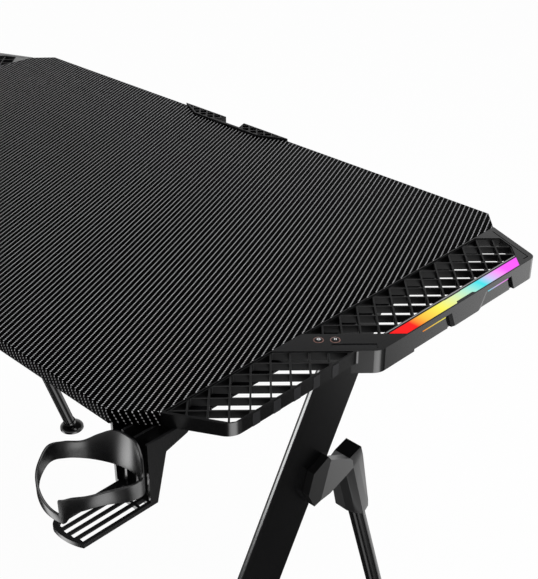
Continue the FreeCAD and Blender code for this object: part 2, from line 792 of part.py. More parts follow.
def make_wing_blank(holes):
    """The moulding that both wings share: rims, windows, bridge panel, light channel, skirt and flange."""
    plate = prism("wing_plate", "XY", [wing_outline()], under_z, dim.board_thick)
    back_at_skirt = wing_back_y - back_slope * (skirt_x - half_length)
    skirt_plan = [(skirt_x, skirt_x + panel_front), (wing_back_x, wing_back_x + panel_front),
                  (wing_back_x, wing_back_y - dim.wing_back_slant), (skirt_x, back_at_skirt)]
    skirt = prism("wing_skirt_wall", "XY", [skirt_plan], skirt_z, dim.wing_skirt)
    flange = box("wing_flange", (half_length - dim.flange_under, -half_depth + dim.flange_front_room, flange_z),
                 (dim.flange_under + dim.flange_ledge,
                  dim.board_depth - dim.flange_front_room - dim.flange_back_room, dim.flange_thick))
    body = fuse("wing_body", [plate, skirt])
    rib_y = wing_front_y + dim.wing_front_slant + dim.wall_rib_first - dim.wall_rib_wide / 2
    ribs = [box(f"wing_wall_rib_{i}", (wing_front_x - dim.rim_wide / 2, rib_y + dim.wall_rib_pitch * i, under_z),
                (dim.rim_wide / 2 + dim.wall_rib_proud, dim.wall_rib_wide, dim.board_thick - dim.wall_rib_drop))
            for i in range(WALL_RIBS)]
    spots = [(wing_back_x, wing_back_x + panel_front), (wing_back_x, wing_back_y - dim.wing_back_slant)]
    soft_rear = round_edges("wing_soft_rear", body, spots[1:], dim.rear_corner)
    soft_elbow = round_edges("wing_soft_elbow", soft_rear, spots[:1], dim.elbow_corner)
    front_spot = [(wing_front_x, wing_front_y + dim.wing_front_slant)]
    soft = round_edges("wing_soft_front", soft_elbow, front_spot, dim.wing_corner)
    through = dim.board_thick + dim.overrun * 2
    open_z = under_z - dim.overrun
    tools = [
        prism("wing_front_window", "XY", [front_window(Size.of(0))], open_z, through),
        prism("wing_rear_window", "XY", [rear_window(Size.of(0))], open_z, through),
        prism("wing_strip_slot", "XY", [strip_outline(Size.of(0))],
              top_z - dim.strip_tall, dim.strip_tall + dim.overrun),
        box("wing_channel", (channel_x, channel_start, skirt_z - dim.overrun),
            (dim.channel_wide, channel_run, top_z - skirt_z)),
        panel_region("wing_cavity", half_length + dim.cavity_wall, skirt_x, dim.cavity_wall,
                     under_z - dim.overrun, dim.board_thick - dim.panel_skin + dim.overrun)]
    tools.append(prism("wing_groove", "XY", [groove_plan()], top_z - dim.groove_deep,
                       dim.groove_deep + dim.overrun))
    lens_top = top_z - dim.lens_drop
    deep_x = wing_back_x - dim.recess_deep
    notch_x = wing_back_x - dim.recess_notch_deep
    out_x = wing_back_x + dim.overrun
    low_z = skirt_z - dim.overrun
    rise = lens_top - low_z
    # Each recess is two leaning cuts that overlap: its start, and its end with the deeper notch
    ends = ((dim.recess_step, Size.of(0), dim.recess_exit, dim.recess_exit_deep),
            (dim.recess_lead, dim.recess_start_run, dim.recess_bevel, dim.recess_bevel))
    for i, (start, end, slit) in enumerate(recess_places()):
        lead, start_run, way_out, out_deep = ends[i]
        notch = end - dim.recess_notch
        first = [(out_x, start), (wing_back_x, start), (deep_x, start + lead), (deep_x, notch), (out_x, notch)]
        inside = start + lead + dim.recess_overlap
        last = [(out_x, inside), (deep_x, inside), (deep_x, notch), (notch_x, notch), (notch_x, end),
                (wing_back_x - out_deep, end), (wing_back_x, end + way_out), (out_x, end + way_out)]
        for part, plan, run in (("start", first, start_run), ("end", last, Size.of(0) - dim.recess_end_run)):
            tools.append(prism(f"wing_recess_{part}_{i}", "XY", [[(x, y - run) for x, y in plan]], low_z, rise,
                               run / rise))
        tools.append(box(f"wing_lens_seat_{i}", (deep_x - dim.lens_deep, slit, lens_top - dim.lens_tall),
                         (dim.recess_deep + dim.lens_deep, dim.lens_long, dim.lens_tall)))
    open_body = cut("wing_open", soft, tools)
    return cut("wing_blank", fuse("wing_with_flange", [open_body, flange] + ribs), holes)


def make_wings(holes):
    """Both wing shells; the right one has the button holes and the plate's seat."""
    blank = make_wing_blank(holes)
    node(mirror("left_wing_shell", blank), "left_wing_shell")
    tools = []
    for i, (x, y) in enumerate(button_places()):
        tools.append(rod(f"button_hole_{i}", dim.button_radius + dim.button_gap, dim.panel_skin + dim.overrun * 2,
                         (x, y, top_z - dim.panel_skin - dim.overrun)))
        tools.append(rod(f"bezel_seat_{i}", bezel_outer + dim.strip_gap, dim.bezel_tall + dim.overrun,
                         (x, y, bezel_z)))
    tools.append(turned_block("plate_seat", dim.plate_along, dim.panel_length / math.sqrt(2) - dim.plate_inset
                              - dim.plate_wide / 2, dim.plate_long, dim.plate_wide,
                              top_z - dim.plate_thick * 2, dim.plate_thick * 2 + dim.overrun))
    node(cut("right_wing_shell", blank, tools), "right_wing_shell")


def make_wing_inserts():
    """Lattice panels, light bar, light strip, side slits and the covers below, for both wings."""
    grille_z = top_z - dim.grille_sink - dim.grille_tall
    front = front_window(dim.grille_gap)
    rear = rear_window(dim.grille_gap)
    rear_crossing = (rear[-1][0] + dim.grille_start - dim.rim_inner, rear[-1][1])
    for label, points, crossing in (("front_grille", front, (half_length, half_length + panel_front)),
                                    ("rear_grille", rear, rear_crossing)):
        panel = lattice(f"{label}_panel", points, crossing, dim.grille_pitch, dim.grille_rib, dim.grille_border,
                        grille_z, dim.grille_tall)
        both_sides(panel, label)
    bar = prism("light_bar", "XY", [strip_outline(dim.strip_gap)],
                top_z - dim.strip_tall, dim.strip_tall + dim.strip_proud)
    both_sides(bar, "light_diffuser")
    gap = dim.strip_gap
    cover = box("light_cover_strip", (channel_x + gap, channel_start + gap, skirt_z),
                (dim.channel_wide - gap * 2, channel_run - gap * 2, dim.light_cover_thick))
    both_sides(cover, "light_cover")
    board_z = skirt_z + dim.light_cover_thick
    board_x = channel_x + (dim.channel_wide - dim.led_board_wide) / 2
    circuit = box("led_circuit", (board_x, channel_start + gap * 2, board_z),
                  (dim.led_board_wide, channel_run - gap * 4, dim.led_board_thick))
    both_sides(circuit, "led_strip")
    chip_x = channel_x + (dim.channel_wide - dim.led_chip) / 2
    pitch = channel_run / LED_COUNT
    chips = [box(f"led_chip_{i}",
                 (chip_x, channel_start + pitch * (i + 0.5) - dim.led_chip / 2, board_z + dim.led_board_thick),
                 (dim.led_chip, dim.led_chip, dim.led_chip_tall)) for i in range(LED_COUNT)]
    both_sides(group("led_chip_row", chips), "led_chips")
    lens_x = wing_back_x - dim.recess_deep - dim.lens_deep
    lenses = [box(f"side_lens_{i}", (lens_x, slit + gap, top_z - dim.lens_drop - dim.lens_tall),
                  (dim.lens_deep + dim.recess_deep - dim.lens_sink, dim.lens_long - gap * 2, dim.lens_tall))
              for i, (_, _, slit) in enumerate(recess_places())]
    both_sides(group("side_lens_pair", lenses), "side_lenses")
    lid = panel_region("control_lid", ledge_x + dim.cover_gap, skirt_x - dim.cover_gap, dim.cover_gap,
                       flange_z, dim.flange_thick)
    both_sides(lid, "control_cover")


# Buttons

bezel_outer = dim.button_radius + dim.button_gap + dim.bezel_wide
bezel_z = top_z - dim.bezel_tall + dim.bezel_proud


def button_places():
    """The two buttons stand along the bridge panel, near the board."""
    return [panel_spot(dim.button_along, dim.button_inset),
            panel_spot(dim.button_along + dim.button_spacing, dim.button_inset)]


def make_buttons():
    """Caps with a retaining flange and a stem, pale rings, the switches and their board, and the plain plate."""
    flange_top = top_z - dim.panel_skin - dim.button_gap / 2
    rings = []
    switches = []
    board_top = under_z + dim.control_board_thick
    stem_z = board_top + dim.tact_tall + dim.button_travel + dim.button_gap * 2
    for i, (label, (x, y)) in enumerate(zip(("colour_button", "mode_button"), button_places())):
        cap = rod(f"{label}_cap", dim.button_radius, top_z + dim.button_proud - flange_top, (x, y, flange_top))
        flange = rod(f"{label}_flange", dim.button_radius + dim.button_flange, dim.button_flange_tall,
                     (x, y, flange_top - dim.button_flange_tall))
        stem = rod(f"{label}_stem", dim.button_stem, flange_top - dim.button_flange_tall - stem_z, (x, y, stem_z))
        node(fuse(label, [cap, flange, stem]), label)
        disc = rod(f"bezel_disc_{i}", bezel_outer, dim.bezel_tall, (x, y, bezel_z))
        hole = rod(f"bezel_hole_{i}", dim.button_radius + dim.button_gap, dim.bezel_tall + dim.overrun * 2,
                   (x, y, bezel_z - dim.overrun))
        rings.append(cut(f"bezel_{i}", disc, [hole]))
        switches.append(box(f"tact_{i}", (x - dim.tact_side / 2, y - dim.tact_side / 2, board_top),
                            (dim.tact_side, dim.tact_side, dim.tact_tall)))
    node(group("button_rings", rings), "button_rings")
    node(group("tact_switches", switches), "tact_switches")
    board = turned_block("control_board", dim.button_along + dim.button_spacing / 2, dim.button_inset,
                         dim.control_board_long, dim.control_board_wide, under_z, dim.control_board_thick)
    node(board, "control_board")
    gap = dim.strip_gap
    inset = dim.panel_length / math.sqrt(2) - dim.plate_inset - dim.plate_wide / 2
    plate = turned_block("button_plate", dim.plate_along, inset, dim.plate_long - gap * 2, dim.plate_wide - gap * 2,
                         top_z - dim.plate_thick * 2, dim.plate_thick)
    node(plate, "button_plate")


def make_controller():
    """The light controller's case under the board, with the power inlet in its underside."""
    middle_x = half_length - dim.controller_inset
    middle_y = beam_back_y - dim.controller_setback
    bottom_z = under_z - dim.controller_tall
    corner = (middle_x - dim.controller_long / 2, middle_y - dim.controller_wide / 2, bottom_z)
    case = box("controller_case", corner, (dim.controller_long, dim.controller_wide, dim.controller_tall))
    lip_z = bottom_z - dim.overrun
    seat = rod("inlet_seat", dim.inlet_radius + dim.strip_gap, dim.inlet_long, (middle_x, middle_y, lip_z))
    node(cut("light_controller", case, [seat]), "light_controller")
    barrel = rod("inlet_barrel", dim.inlet_radius, dim.inlet_long, (middle_x, middle_y, lip_z))
    bore = rod("inlet_bore_cut", dim.inlet_bore, dim.inlet_long,
               (middle_x, middle_y, lip_z - dim.overrun))
    node(cut("power_inlet", barrel, [bore]), "power_inlet")


# Steel frame

rail_outer_x = frame_plane + dim.rail_wide / 2
rail_inner_x = frame_plane - dim.rail_wide / 2
beam_half = rail_inner_x - dim.joint_gap


def bolt_places():
    """Height and depth of each beam bolt."""
    middle = under_z - dim.rail_tall / 2
    return [(y + side * dim.bolt_spacing / 2, middle)
            for y in (dim.beam_front_y, beam_back_y) for side in (-1, 1)]


def make_frame(rail_holes):
    """Side rails and cross beams of box tube, with the bolts that join them."""
    bolt_long = dim.rail_wide + dim.joint_gap + dim.beam_plate + dim.bolt_reach
    bolts = []
    bolt_holes = []
    for i, (y, z) in enumerate(bolt_places()):
        head = rod(f"beam_bolt_head_{i}", dim.bolt_head, dim.bolt_head_tall, (rail_outer_x, y, z), Vector(1, 0, 0))
        shank = rod(f"beam_bolt_shank_{i}", dim.bolt_radius, bolt_long, (rail_outer_x, y, z), Vector(-1, 0, 0))
        bolt = fuse(f"beam_bolt_{i}", [head, shank])
        bolts.append(bolt)
        bolts.append(mirror(f"beam_bolt_left_{i}", bolt))
        hole = rod(f"beam_bolt_hole_{i}", dim.bolt_radius + dim.screw_gap, bolt_long + dim.overrun * 2,
                   (rail_outer_x + dim.overrun, y, z), Vector(-1, 0, 0))
        bolt_holes.append(hole)
    node(group("beam_bolts", bolts), "beam_bolts")
    wall = dim.rail_wall
    outer = box("rail_outer", (rail_inner_x, -rail_front, rail_z), (dim.rail_wide, rail_run, dim.rail_tall))
    inner = box("rail_inner", (rail_inner_x + wall, -rail_front - dim.overrun, rail_z + wall),
                (dim.rail_wide - wall * 2, rail_run + dim.overrun * 2, dim.rail_tall - wall * 2))
    rail = cut("side_rail", cut("rail_tube", outer, [inner]), rail_holes + bolt_holes)
    both_sides(rail, "side_rail")
    for label, y, holes in (("front_beam", dim.beam_front_y, bolt_holes[:2]),
                            ("rear_beam", beam_back_y, bolt_holes[2:])):
        solid = box(f"{label}_outer", (-beam_half, y - dim.beam_wide / 2, rail_z),
                    (beam_half * 2, dim.beam_wide, dim.rail_tall))
        hollow = box(f"{label}_inner", (dim.beam_plate - beam_half, y - dim.beam_wide / 2 + wall, rail_z + wall),
                     ((beam_half - dim.beam_plate) * 2, dim.beam_wide - wall * 2, dim.rail_tall - wall * 2))
        twins = [mirror(f"{label}_hole_left_{i}", hole) for i, hole in enumerate(holes)]
        node(cut(label, solid, [hollow] + holes + twins), label)


# Main legs

shoe_z = dim.foot_tall + dim.foot_gap
leg_z = shoe_z + dim.shoe_thick


def leg_middle(z):
    """Where the leaning leg's middle line passes at a height."""
    return leg_slope * z - dim.leg_floor_y


def leg_section(z, wall):
    """The leg's level section: a flat outer face, short edges and sides that draw in to a narrow inner face."""
    y = leg_middle(z)
    outer = leg_outer_x - wall
    edge = leg_outer_x - dim.leg_flat + wall / 4
    inner = leg_plane - dim.leg_thick / 2 + wall
    wide = dim.leg_wide / 2 - wall
    narrow = dim.leg_inner / 2 - wall / 4
    return [(inner, y - narrow), (edge, y - wide), (outer, y - wide),
            (outer, y + wide), (edge, y + wide), (inner, y + narrow)]


def make_legs():
    """Leaning leg tubes, their end shoes, and the front feet with their studs."""
    tall = rail_z - leg_z
    tube = prism("leg_tube", "XY", [leg_section(leg_z, Size.of(0)), leg_section(leg_z, dim.leg_wall)],
                 leg_z, tall, leg_slope)
    both_sides(tube, "main_leg")
    flat = prism("shoe_plate", "XY", [leg_section(shoe_z, Size.of(0))], shoe_z, dim.shoe_thick, leg_slope)
    inside = leg_section(leg_z, dim.leg_wall + dim.shoe_gap)
    plug = prism("shoe_plug", "XY", [inside], leg_z, dim.shoe_depth, leg_slope)
    foot_y = leg_middle(shoe_z)
    bore = rod("shoe_bore", dim.stud_radius + dim.stud_gap, dim.stud_long + dim.stud_room + dim.overrun,
               (leg_plane, foot_y, shoe_z - dim.overrun))
    both_sides(cut("leg_shoe", fuse("shoe_whole", [flat, plug]), [bore]), "leg_shoe")
    make_foot("front", (leg_plane, foot_y), (leg_plane, foot_y), None)


def make_foot(label, spot, stud_spot, tilt):
    """A domed round foot, turned from its profile, and the threaded stud that carries it."""
    body = doc.addObject("PartDesign::Body", f"{label}_foot_dome")
    sketch = body.newObject("Sketcher::SketchObject", f"{label}_foot_profile")
    support = [item for item in body.Origin.OriginFeatures if item.Role == "XZ_Plane"][0]
    sketch.AttachmentSupport = [(support, "")]
    sketch.MapMode = "FlatFace"
    shoulder = dim.foot_rim + (dim.foot_tall - dim.foot_rim) * NECK_WAIST_SHARE
    middle = (dim.foot_radius + dim.foot_neck) / 2
    add_outline(sketch, [(0, 0), (dim.foot_radius - dim.foot_rim / 4, 0), (dim.foot_radius, dim.foot_rim / 4),
                         (dim.foot_radius, dim.foot_rim), (middle, shoulder + dim.foot_rim / 4),
                         (dim.foot_neck, dim.foot_tall), (0, dim.foot_tall)])
    turn = body.newObject("PartDesign::Revolution", f"{label}_foot_turn")
    turn.Profile = sketch
    turn.ReferenceAxis = (sketch, ["V_Axis"])
    turn.Angle = 360.0
    place(body, (*spot, 0))
    start = (*stud_spot, dim.foot_rim)
    reach = dim.stud_long + dim.foot_tall - dim.foot_rim
    seat = rod(f"{label}_stud_seat", dim.stud_radius, reach, start, None, tilt)
    both_sides(cut(f"{label}_foot", body, [seat]), f"{label}_foot")
    stud = rod(f"{label}_stud", dim.stud_radius, reach, start, None, tilt)
    both_sides(stud, f"{label}_foot_stud")


# Braces and knuckles

def brace_y(z):
    """Where the brace's middle line passes at a height."""
    return dim.brace_floor_y - z * BRACE_TAN


def brace_spot(along):
    """A point on the brace's middle line, given its distance from the floor along the line."""
    return brace_plane, dim.brace_floor_y - along * BRACE_SIN, along * BRACE_COS


def brace_corner(along, out, back):
    """A point beside the brace's middle line: along it from the floor, out along X and square to both."""
    _, y, z = brace_spot(along)
    return Vector((brace_plane + out).value, (y + back * BRACE_COS).value, (z + back * BRACE_SIN).value)


def make_braces():
    """Brace tubes, their end plugs with a collar, and the rear feet."""
    tilt = dim.brace_tilt
    run = brace_end - dim.brace_start
    outer = rod("brace_outer", dim.brace_radius, run, brace_spot(dim.brace_start), None, tilt)
    inner = rod("brace_inner", dim.brace_radius - dim.brace_wall, run + dim.overrun * 2,
                brace_spot(dim.brace_start - dim.overrun), None, tilt)
    both_sides(cut("brace", outer, [inner]), "brace")
    collar_start = dim.brace_start - dim.collar_tall
    collar = rod("plug_collar", dim.collar_radius, dim.collar_tall, brace_spot(collar_start), None, tilt)
    spigot = rod("plug_spigot", dim.brace_radius - dim.brace_wall - dim.shoe_gap, dim.plug_depth,
                 brace_spot(dim.brace_start), None, tilt)
    bore = rod("plug_bore", dim.stud_radius + dim.stud_gap, dim.collar_tall + dim.plug_depth + dim.overrun * 2,
               brace_spot(collar_start - dim.overrun), None, tilt)
    both_sides(cut("brace_plug", fuse("plug_whole", [collar, spigot]), [bore]), "brace_plug")
    middle = (brace_plane, brace_y(dim.foot_rim))
    make_foot("rear", middle, middle, tilt)


def sleeve_section(along, shares):
    """The sleeve's corners round the brace at one place along it."""
    half = dim.sleeve_half_wide
    return [brace_corner(along, half * out, half * back) for out, back in shares]


def pad_corner(shares):
    """A corner of the knuckle in the plane of the leg's face, from the leg's back edge at the pad's height."""
    back, up = shares
    edge = leg_middle(pad_height) + dim.leg_wide / 2
    return edge + dim.pad_tall * back, pad_height + dim.pad_tall * up


def upright_section(x, corners):
    """A polygon standing at one X value."""
    return [Vector(x.value, y.value, z.value) for y, z in corners]


def leaning_section(x, corners):
    """The same polygon on a plane that leans in from its second corner, which stands at the X value."""
    first_y, first_z = corners[1]
    along_y, along_z = ARM_LEAN_SHARES
    return [Vector((x + (y - first_y) * along_y + (z - first_z) * along_z).value, y.value, z.value)
            for y, z in corners]


def make_set_screws():
    """The screw through each sleeve's inner side that holds the brace, and its hole."""
    along = sleeve_start + (sleeve_end - sleeve_start) * SET_SCREW_SHARE
    x, y, z = brace_spot(along)
    tip = (x - dim.brace_radius, y, z)
    screw = rod("set_screw_right", dim.bolt_radius, dim.set_screw_long, tip, Vector(-1, 0, 0))
    node(group("brace_set_screws", [screw, mirror("set_screw_left", screw)]), "brace_set_screws")
    return rod("set_screw_hole", dim.bolt_radius + dim.screw_gap, dim.set_screw_long + dim.overrun, tip,
               Vector(-1, 0, 0))


def make_knuckles():
    """The faceted casting: an eight-sided sleeve round the brace, a leaning arm and a flat pad on the leg."""
    sleeve = faceted([sleeve_section(sleeve_start, SLEEVE_FOOT_SHARES),
                      sleeve_section(sleeve_end - dim.sleeve_shoulder, SLEEVE_RIDGE_SHARES),
                      sleeve_section(sleeve_end, SLEEVE_TOP_SHARES)])
    face_x = leg_outer_x + dim.knuckle_gap
    pad_corners = [pad_corner(shares) for shares in PAD_SHARES]
    pad = faceted([upright_section(face_x, pad_corners), upright_section(face_x + dim.pad_thick, pad_corners)])
    arm_corners = [pad_corner(shares) for shares in ARM_SHARES]
    arm = faceted([upright_section(face_x, arm_corners), leaning_section(face_x + dim.pad_thick, arm_corners)])
    edge = dim.leg_wide / 2 + dim.knuckle_gap
    heights = [pad_height + dim.pad_tall * share for share in WEB_SHARES]
    web_corners = [(leg_middle(z) + edge, z) for z in heights] + arm_corners[2:]
    web_start = brace_plane + dim.brace_radius
    web_face = Part.Face(closed_polygon(upright_section(web_start, web_corners)))
    web = web_face.extrude(Vector((face_x + dim.knuckle_gap - web_start).value, 0, 0))
    casting = feature("knuckle_casting", sleeve.fuse([pad, arm, web]).removeSplitter())
    bore = rod("knuckle_bore", dim.brace_radius + dim.knuckle_gap, brace_end - sleeve_start + dim.overrun * 2,
               brace_spot(sleeve_start - dim.overrun * 2), None, dim.brace_tilt)
    both_sides(cut("knuckle", casting, [bore, make_set_screws()]), "knuckle")


# Cup holder

def make_cup_arm(holes):
    """The moulded arm: a ribbed channel under the board that bends down and ends in a slatted tray."""
    back_y = cup_face_y + dim.cup_arm_back
    knee_y = cup_face_y + dim.cup_arm_deep
    elbow = cup_face_y + dim.cup_arm_elbow
    tab_y = cup_face_y + dim.cup_arm_tab
    heel_y = cup_face_y + dim.cup_arm_heel
    web = dim.cup_web
    knee_z = under_z - dim.cup_arm_knee
    shelf_z = under_z - dim.cup_arm_top
    side = [(back_y, under_z), (cup_face_y, under_z), (cup_face_y, cup_floor_z), (heel_y, cup_floor_z),
            (knee_y, knee_z), (elbow, shelf_z), (tab_y, under_z - web), (back_y, under_z - web)]
    arm = prism("cup_arm_side", "YZ", [side], cup_left_x, dim.cup_arm_wide)
    over = dim.overrun
    groove = [(elbow, under_z + over), (cup_face_y - over, under_z + over),
              (cup_face_y - over, cup_floor_z + dim.cup_tray_tall), (heel_y - web, cup_floor_z + dim.cup_tray_tall),
              (knee_y - web, knee_z + web), (elbow, shelf_z + web)]
    pitch = (dim.cup_arm_wide - dim.cup_rib) / CUP_GROOVES
    tools = [prism(f"cup_groove_{i}", "YZ", [groove], cup_left_x + dim.cup_rib + pitch * i, pitch - dim.cup_rib)
             for i in range(CUP_GROOVES)]
    ribbed = cut("cup_arm_ribbed", arm, tools)
    tray_y = cup_face_y - dim.cup_tray_long
    tray_x = cup_left_x + dim.cup_tray_inset
    tray_right = cup_left_x + dim.cup_arm_wide
    slab = box("cup_tray_slab", (tray_x, tray_y, cup_floor_z),
               (dim.cup_arm_wide - dim.cup_tray_inset, dim.cup_tray_long + over, dim.cup_tray_tall))
    half = dim.cup_arm_wide / 2
    nose = (half * half + dim.cup_tray_bulge * dim.cup_tray_bulge) / (dim.cup_tray_bulge * 2)
    round_nose = rod("cup_tray_nose", nose, dim.cup_tray_tall + over * 2,
                     (cup_arm_x, tray_y + nose, cup_floor_z - over))
    tail = box("cup_tray_tail", (cup_left_x, tray_y + dim.cup_tray_bulge, cup_floor_z - over),
               (dim.cup_arm_wide, dim.cup_tray_long + over - dim.cup_tray_bulge, dim.cup_tray_tall + over * 2))
    tray = doc.addObject("Part::Common", "cup_tray_plan")
    tray.Base = slab
    tray.Tool = fuse("cup_tray_shape", [round_nose, tail])
    recede = nose.value - math.sqrt(nose.value ** 2 - (half - dim.cup_tray_inset).value ** 2)
    soft_tray = round_edges("cup_tray_soft", tray, [(tray_x, tray_y + recede)], dim.cup_tray_corner)
    slots = []
    slot_z = cup_floor_z - over
    through = dim.cup_tray_tall + over * 2
    tray_wide = tray_right - tray_x
    slot_wide = tray_wide * CUP_SLOT_WIDE_SHARE
    for i, (spot, share) in enumerate(zip(CUP_SLOT_PLACE_SHARES, CUP_SLOT_RIM_SHARES)):
        x = tray_right - tray_wide * spot - slot_wide / 2
        rim = dim.cup_slot_rim + dim.cup_tray_corner * share
        slots.append(box(f"cup_slot_{i}", (x, tray_y + rim, slot_z),
                         (slot_wide, dim.cup_tray_long - dim.cup_slot_end - rim, through)))
        slots.append(box(f"cup_slit_{i}", (x, cup_face_y - dim.cup_slot_end + dim.cup_slot_bar, slot_z),
                         (slot_wide, dim.cup_slot_end - dim.cup_slot_bar * 1.5, through)))
    wall = dim.cup_tray_wall
    end_y = cup_face_y - dim.cup_slot_end
    hollow = [(tray_x + wall, tray_y + dim.cup_tray_corner + wall), (tray_x + dim.cup_tray_corner, tray_y + wall),
              (cup_arm_x, tray_y + wall), (tray_right - wall, tray_y + dim.cup_tray_bulge + wall),
              (tray_right - wall, end_y), (tray_x + wall, end_y)]
    slots.append(prism("cup_tray_hollow", "XY", [hollow], slot_z, dim.cup_tray_tall - dim.cup_slat_tall + over))
    slatted = cut("cup_tray", soft_tray, slots)
    node(cut("cup_holder_arm", fuse("cup_arm_whole", [ribbed, slatted]), holes), "cup_holder_arm")


def wavy_band(shares, radius, thick, middle):
    """A band on a circle whose top and bottom edges follow smooth curves through angle, rise and half height."""
    def edge(r, sign):
        points = []
        for angle, rise, half in shares:
            turn = math.radians(angle)
            z = middle.z + (rise + sign * half) * radius
            points.append(Vector(middle.x + r * math.cos(turn), middle.y + r * math.sin(turn), z))
        curve = Part.BSplineCurve()
        curve.interpolate(points)
        return curve.toShape()

    outer_top, outer_low = edge(radius, 1), edge(radius, -1)
    inner_top, inner_low = edge(radius - thick, 1), edge(radius - thick, -1)
    sides = [Part.makeRuledSurface(a, b) for a, b in
             ((outer_low, outer_top), (outer_top, inner_top), (inner_top, inner_low), (inner_low, outer_low))]
    ends = []
    for index in (0, 1):
        corners = [curve.Vertexes[index].Point for curve in (outer_low, outer_top, inner_top, inner_low)]
        ends.append(Part.Face(closed_polygon(corners)))
    shell = Part.makeShell(sides + ends)
    shell.sewShape()
    solid = Part.makeSolid(shell)
    if solid.Volume < 0:
        solid.reverse()
    return solid


def make_cup_ring():
    """The wavy ring: tall at the arm, low at the front where a mug's handle passes, and a flat boss at the back."""
    radius = dim.cup_ring_radius.value
    centre = Vector((cup_arm_x + dim.cup_ring_offset).value, (cup_face_y - dim.cup_ring_stand).value - radius,
                    (cup_floor_z + dim.cup_ring_middle).value)
    thick = dim.cup_ring_thick.value
    tall = wavy_band(RING_TALL_SHARES, radius, thick, centre)
    strip = wavy_band(RING_STRIP_SHARES, radius, thick, centre)
    depth = thick * 0.9 + dim.cup_ring_stand.value
    boss = Part.makeBox(dim.cup_boss_wide.value, depth, dim.cup_boss_tall.value,
                        Vector(centre.x - dim.cup_boss_wide.value / 2, cup_face_y.value - depth,
                               centre.z - dim.cup_boss_tall.value / 2))
    node(feature("cup_holder_ring", tall.fuse([strip, boss]).removeSplitter()), "cup_holder_ring")


# The whole desk

def build():
    """Make every sub-part."""
    rail_set, rail_holes = screws("rail_screws", rail_screw_places(), rail_z, dim.rail_tall + dim.screw_bite)
    wing_set, wing_holes = screws("wing_screws", wing_screw_places(), flange_z, dim.flange_thick + dim.screw_bite)
    insert_set, insert_holes = screws("insert_screws", insert_screw_places(), flange_z,
                                      dim.flange_thick + dim.screw_bite)
    cup_set, cup_holes = screws("cup_holder_screws", cup_screw_places(), under_z - dim.cup_web,
                                dim.cup_web + dim.screw_bite)
    for made in (rail_set, wing_set, insert_set, cup_set):
        node(made, made.Name)
    make_board(rail_holes + wing_holes + insert_holes + cup_holes)
    make_insert(insert_holes)
    make_wings(wing_holes[::2])
    make_wing_inserts()
    make_buttons()
    make_controller()
    make_frame(rail_holes[::2])
    make_legs()
    make_braces()
    make_knuckles()
    make_cup_arm(cup_holes)
    make_cup_ring()
    doc.recompute()


def write():
    """Check every object and sub-part, then write one file for each sub-part."""
    failed = [obj.Name for obj in doc.Objects if {"Invalid", "Error"} & set(obj.State)]
    if failed:
        raise RuntimeError(f"objects failed: {failed}")
    for obj in NODES:
        if obj.Shape.isNull() or not obj.Shape.isValid() or not obj.Shape.Solids:
            raise RuntimeError(f"bad shape: {obj.Label}")
    os.makedirs("parts", exist_ok=True)
    for obj in NODES:
        obj.Shape.exportStep(f"parts/{obj.Label}.step")
    print(f"{len(NODES)} sub-parts written")


build()
write()
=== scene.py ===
"""Gaming desk: the looks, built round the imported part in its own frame.

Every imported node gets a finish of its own, and pieces whose visible form is richer than the solid
stand in for it. Metres, +Z up, origin on the floor under the middle of the board.
"""
import math

import bmesh
import bpy
import numpy as np
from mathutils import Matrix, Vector


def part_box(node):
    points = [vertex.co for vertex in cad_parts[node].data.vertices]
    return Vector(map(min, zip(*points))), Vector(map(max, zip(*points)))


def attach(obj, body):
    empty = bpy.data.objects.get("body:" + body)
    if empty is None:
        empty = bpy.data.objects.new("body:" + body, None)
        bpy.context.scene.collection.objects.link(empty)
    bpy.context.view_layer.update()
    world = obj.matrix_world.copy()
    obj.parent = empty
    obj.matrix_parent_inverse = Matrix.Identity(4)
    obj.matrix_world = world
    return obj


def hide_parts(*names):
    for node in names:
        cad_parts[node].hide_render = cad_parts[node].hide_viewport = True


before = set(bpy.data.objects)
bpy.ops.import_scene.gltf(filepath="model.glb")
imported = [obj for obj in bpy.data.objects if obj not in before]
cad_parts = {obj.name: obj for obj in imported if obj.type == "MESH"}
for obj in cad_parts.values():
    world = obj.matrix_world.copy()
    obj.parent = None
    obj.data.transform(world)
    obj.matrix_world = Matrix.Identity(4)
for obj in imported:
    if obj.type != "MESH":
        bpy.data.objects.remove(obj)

bl_info = {
    "name": "Gaming desk",
    "version": (1, 0, 0),
    "blender": (4, 5, 0),
    "location": "View3D > Sidebar > Desk",
    "description": "Builds the film, lights and finishes of a gaming desk round its packed frame",
    "category": "Object",
}

MM = 0.001
QUARTER, FULL = math.pi / 2, 2 * math.pi
WHITE, BLACK = (1.0, 1.0, 1.0, 1.0), (0.0, 0.0, 0.0, 1.0)
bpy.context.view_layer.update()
BOARD_LOW, BOARD_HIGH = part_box("desktop")
STRIP_LOW, STRIP_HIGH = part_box("right_light_diffuser")
SIDES = ("right", "left")

# The photograph's frame in pixels, and the camera that was fitted to it
PHOTO_WIDE, PHOTO_TALL = 538, 579
FOCAL_PIXELS = 1076.12
SENSOR_MM = 36.0
CAMERA_PLACE = (1.12235, -0.77327, 1.34409)
CAMERA_AZIMUTH, CAMERA_ELEVATION = 44.366, 29.580
CLIP_NEAR, CLIP_FAR = 0.05, 100.0

